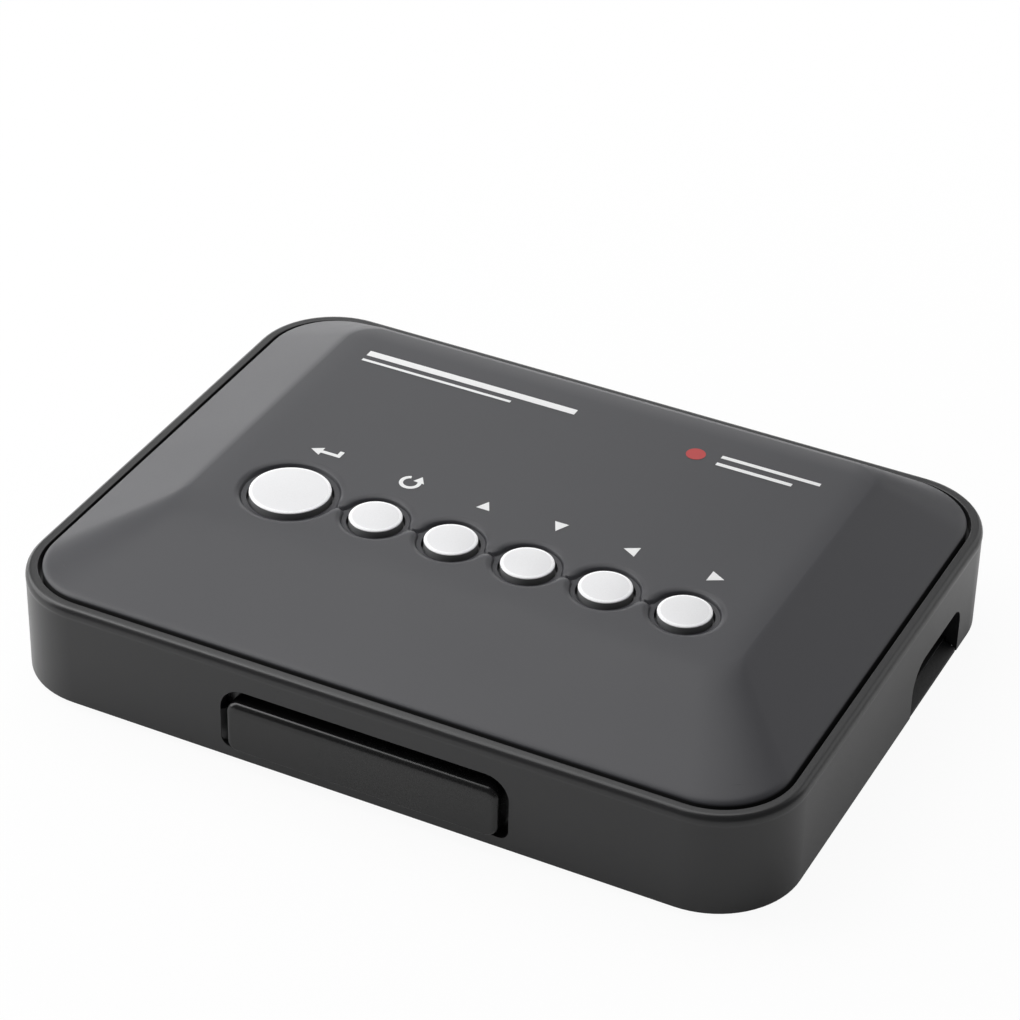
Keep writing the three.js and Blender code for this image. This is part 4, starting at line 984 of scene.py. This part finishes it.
window = {
    "half": 22.9, "floor": 2.3, "roof": 11.0,
    "radius": 1.9, "roundingSteps": 10,
    "frontRounding": 0.95,   # how deep the edge's rounding is, and how far in at each side
    "topRounding": 1.5, "endRounding": 0.9, "bottomRounding": 0.3,
    "faceInset": 1.15,       # where the flat face starts, in roundings
    "sideRun": 0.3,
    "flangeHalf": 26.4, "flangeThickness": 1.2, "flangeRadius": 0.5, "flangeGap": 0.001,
}

def makeWindow():
    low, high = nodeBox("front_window")
    depth = window["frontRounding"]
    flangeFront = high.y - window["flangeThickness"]
    def outline(share, y):
        # share runs from the full outline to the flat face inside the rounding
        inset = window["endRounding"] * share
        radius = window["radius"] - inset
        return [(x, y, z) for x, z in windowOutline(
            window["half"] - inset,
            caseFloor + window["floor"] + window["bottomRounding"] * share,
            caseFloor + window["roof"] - window["topRounding"] * share, radius, radius)]
    def flange(y):
        radius = window["flangeRadius"]
        return [(x, y, z) for x, z in windowOutline(
            window["flangeHalf"], low.z + window["flangeGap"], high.z, radius, radius)]
    rings = [flange(high.y), flange(flangeFront), outline(0, flangeFront),
             outline(0, low.y + depth + window["sideRun"])]
    for back, out in arc((1, 0), 1, 180, 90, window["roundingSteps"]):
        rings.append(outline(back, low.y + depth * (1 - out)))
    rings.append(outline(window["faceInset"], low.y))
    bm = bmesh.new()
    loft(bm, rings)
    return addPiece("windowLens", bm, "window_plastic", stands=["front_window"])

makeWindow()
print("window made")


# Buttons

cap = {
    "dome": 0.15, "domeShares": (0.92, 0.8, 0.6, 0.4, 0.2, 0),
    "ringWidth": 0.5,        # the ring around the face, painted brighter than the face as a painted highlight, and how far it falls outwards
    "ringDrop": 0.09,
    "seam": 0.03,            # the narrow turn between ring and face
    "seamDrop": 0.004, "seamRise": 0.002,
    "edgeRounding": 0.22, "edgeTurn": 78, "edgeSteps": 6, "sideRun": 0.1,
    "flangeRise": 1.5, "flangeThickness": 0.8,
    "stemRadius": 2.0, "chamfer": 0.1, "steps": 96,
}

def makeButton(button):
    radius, foot, top = button["radius"], button["foot"], button["top"]
    edge = top - cap["dome"]
    rounding = cap["edgeRounding"]
    flange = radius + capClearance
    flangeFoot = foot + cap["flangeRise"]
    flangeTop = flangeFoot + cap["flangeThickness"]
    small = cap["chamfer"]
    stem = cap["stemRadius"]
    profile = [(0, foot), (stem - small, foot), (stem, foot + small), (stem, flangeFoot),
               (flange - small, flangeFoot), (flange, flangeFoot + small),
               (flange, flangeTop - small), (flange - small, flangeTop), (radius, flangeTop)]
    ringOuter = edge - cap["ringDrop"]
    profile += [(radius, ringOuter - rounding - cap["sideRun"])]
    sideSpans = len(profile) + 1
    profile += [(radius - rounding + x, ringOuter - rounding + y)
                for x, y in arc((0, 0), rounding, 0, cap["edgeTurn"], cap["edgeSteps"])]
    inner, seam, rise = radius - cap["ringWidth"], cap["seam"], cap["seamRise"]
    profile += [(inner + seam, edge - cap["seamDrop"]), (inner - seam, edge + rise)]
    ringSpans = len(profile) - 1
    for share in cap["domeShares"]:
        level = edge + rise + (cap["dome"] - rise) * (1 - share * share)
        profile.append(((inner - seam) * share, level))
    bm = bmesh.new()
    turnedBody(bm, profile, button["x"], button["y"], cap["steps"])
    # side, ring and face, told apart by the profile's span that a face comes from; the ring gets a
    # painted highlight and the side painted shade
    for number, face in enumerate(bm.faces):
        span = number // cap["steps"]
        if span < sideSpans:
            face.material_index = 2
        elif span < ringSpans:
            face.material_index = 1
    node = "button_" + button["name"]
    piece = addPiece("cap_" + button["name"], bm, "button_paint", node + "_body", [node])
    piece.data.materials.append(finishes["button_edge"])
    piece.data.materials.append(finishes["button_side"])
    return piece

for button in buttons:
    makeButton(button)
print(len(buttons), "buttons made")


# Printed marks on the cover

ink = {"lift": 0.004, "thickness": 0.03, "layer": 0.008}

# every sign stands at (x, y) from the middle of its button
signs = {
    "enter": (-0.4, 12.3),
    "menu": (0.2, 11.0),
    "up": (0.45, 10.9),
    "down": (-0.1, 11.0),
    "left": (-0.8, 10.6),
    "right": (0.7, 10.2),
}

# triangles by width, height and the quarters they are turned by
triangles = {"up": (2.3, 2.2, 0), "down": (2.4, 2.4, 2), "left": (2.6, 2.3, 1), "right": (2.7, 2.4, 3)}

returnSign = {"half": 2.65, "shaftLow": -0.55, "shaftHigh": 0.15, "shaftStart": 1.2, "tickTop": 1.2,
              "tickWidth": 0.75, "headLength": 1.9, "headTip": -0.2, "headLow": -1.3, "headHigh": 0.9}

turningSign = {"outer": 1.8, "inner": 1.15, "fromAngle": -250, "toAngle": 50, "steps": 28,
               "head": ((0.25, 0.6), (2.15, 0.5), (1.05, 2.2))}

# bars by left, right, middle and thickness, and the dot by place and radius
leftRules = ((-41.5, -3.2, 30.1, 1.5), (-41.5, -14.0, 27.9, 0.6))
rightRules = ((23.0, 40.0, 29.4, 0.8), (23.0, 36.0, 27.2, 0.8))
dot = {"place": (19.0, 28.2), "radius": 1.6, "steps": 48}

def printMark(name, outlines, finish):
    # each outline is (x, y) anticlockwise, laid on the flat of the cover, a little over the one before
    bm = bmesh.new()
    for layer, outline in enumerate(outlines):
        low = plateau + ink["lift"] + layer * ink["layer"]
        loft(bm, [[(x, y, z) for x, y in outline] for z in (low, low + ink["thickness"])])
    return addPiece(name, bm, "button_paint", finish=finish)

def triangle(x, y, width, height, turned):
    # points along +Y, turned anticlockwise by quarters
    points = [(-width / 2, -height / 2), (width / 2, -height / 2), (0, height / 2)]
    for _ in range(turned):
        points = [(-b, a) for a, b in points]
    return [(x + a, y + b) for a, b in points]

def returnArrow(x, y):
    # a shaft with a tick up at its right end and a head at its left
    sign = returnSign
    left, right = x - sign["half"], x + sign["half"]
    low, high, top = y + sign["shaftLow"], y + sign["shaftHigh"], y + sign["tickTop"]
    start, tick, neck = left + sign["shaftStart"], right - sign["tickWidth"], left + sign["headLength"]
    shaft = [(start, low), (right, low), (right, top), (tick, top), (tick, high), (start, high)]
    head = [(left, y + sign["headTip"]), (neck, y + sign["headLow"]), (neck, y + sign["headHigh"])]
    return [shaft, head]

def turningArrow(x, y):
    # most of a ring, with a head at its open end
    sign = turningSign
    outer, inner = (arc((x, y), sign[side], sign["fromAngle"], sign["toAngle"], sign["steps"])
                    for side in ("outer", "inner"))
    return [outer + list(reversed(inner)), [(x + a, y + b) for a, b in sign["head"]]]

def bar(left, right, middle, thickness):
    low, high = middle - thickness / 2, middle + thickness / 2
    return [(left, low), (right, low), (right, high), (left, high)]

def makeMarks():
    for button in buttons:
        name = button["name"]
        x, y = button["x"] + signs[name][0], buttons[0]["y"] + signs[name][1]
        if name in triangles:
            outlines = [triangle(x, y, *triangles[name])]
        else:
            outlines = returnArrow(x, y) if name == "enter" else turningArrow(x, y)
        printMark("mark" + name.capitalize(), outlines, "white_ink")
    printMark("ruleLeft", [bar(*rule) for rule in leftRules], "white_ink")
    printMark("dotRight", [circle(*dot["place"], dot["radius"], dot["steps"])], "red_ink")
    printMark("rulesRight", [bar(*rule) for rule in rightRules], "white_ink")

makeMarks()
print("marks printed")


# Softened edges on the pieces that the frame brings

softEdges = {
    "base_plate": 0.15, "main_board": 0.05, "key_board": 0.05, "heat_sink": 0.12, "processor": 0.06,
    "memory_chip_1": 0.05, "memory_chip_2": 0.05, "flash_chip": 0.05,
    "usb_shell": 0.08, "hdmi_shell": 0.08,
    "usb_tongue": 0.1, "hdmi_tongue": 0.1, "card_socket": 0.1, "av_jack": 0.12, "power_jack": 0.12,
    "inductor": 0.1, "key_connector": 0.1, "main_connector": 0.1,
}

softenedFrom = 34

for name, width in softEdges.items():
    soften(nodes[name], width, softenedFrom)
print(len(softEdges), "inner pieces softened")
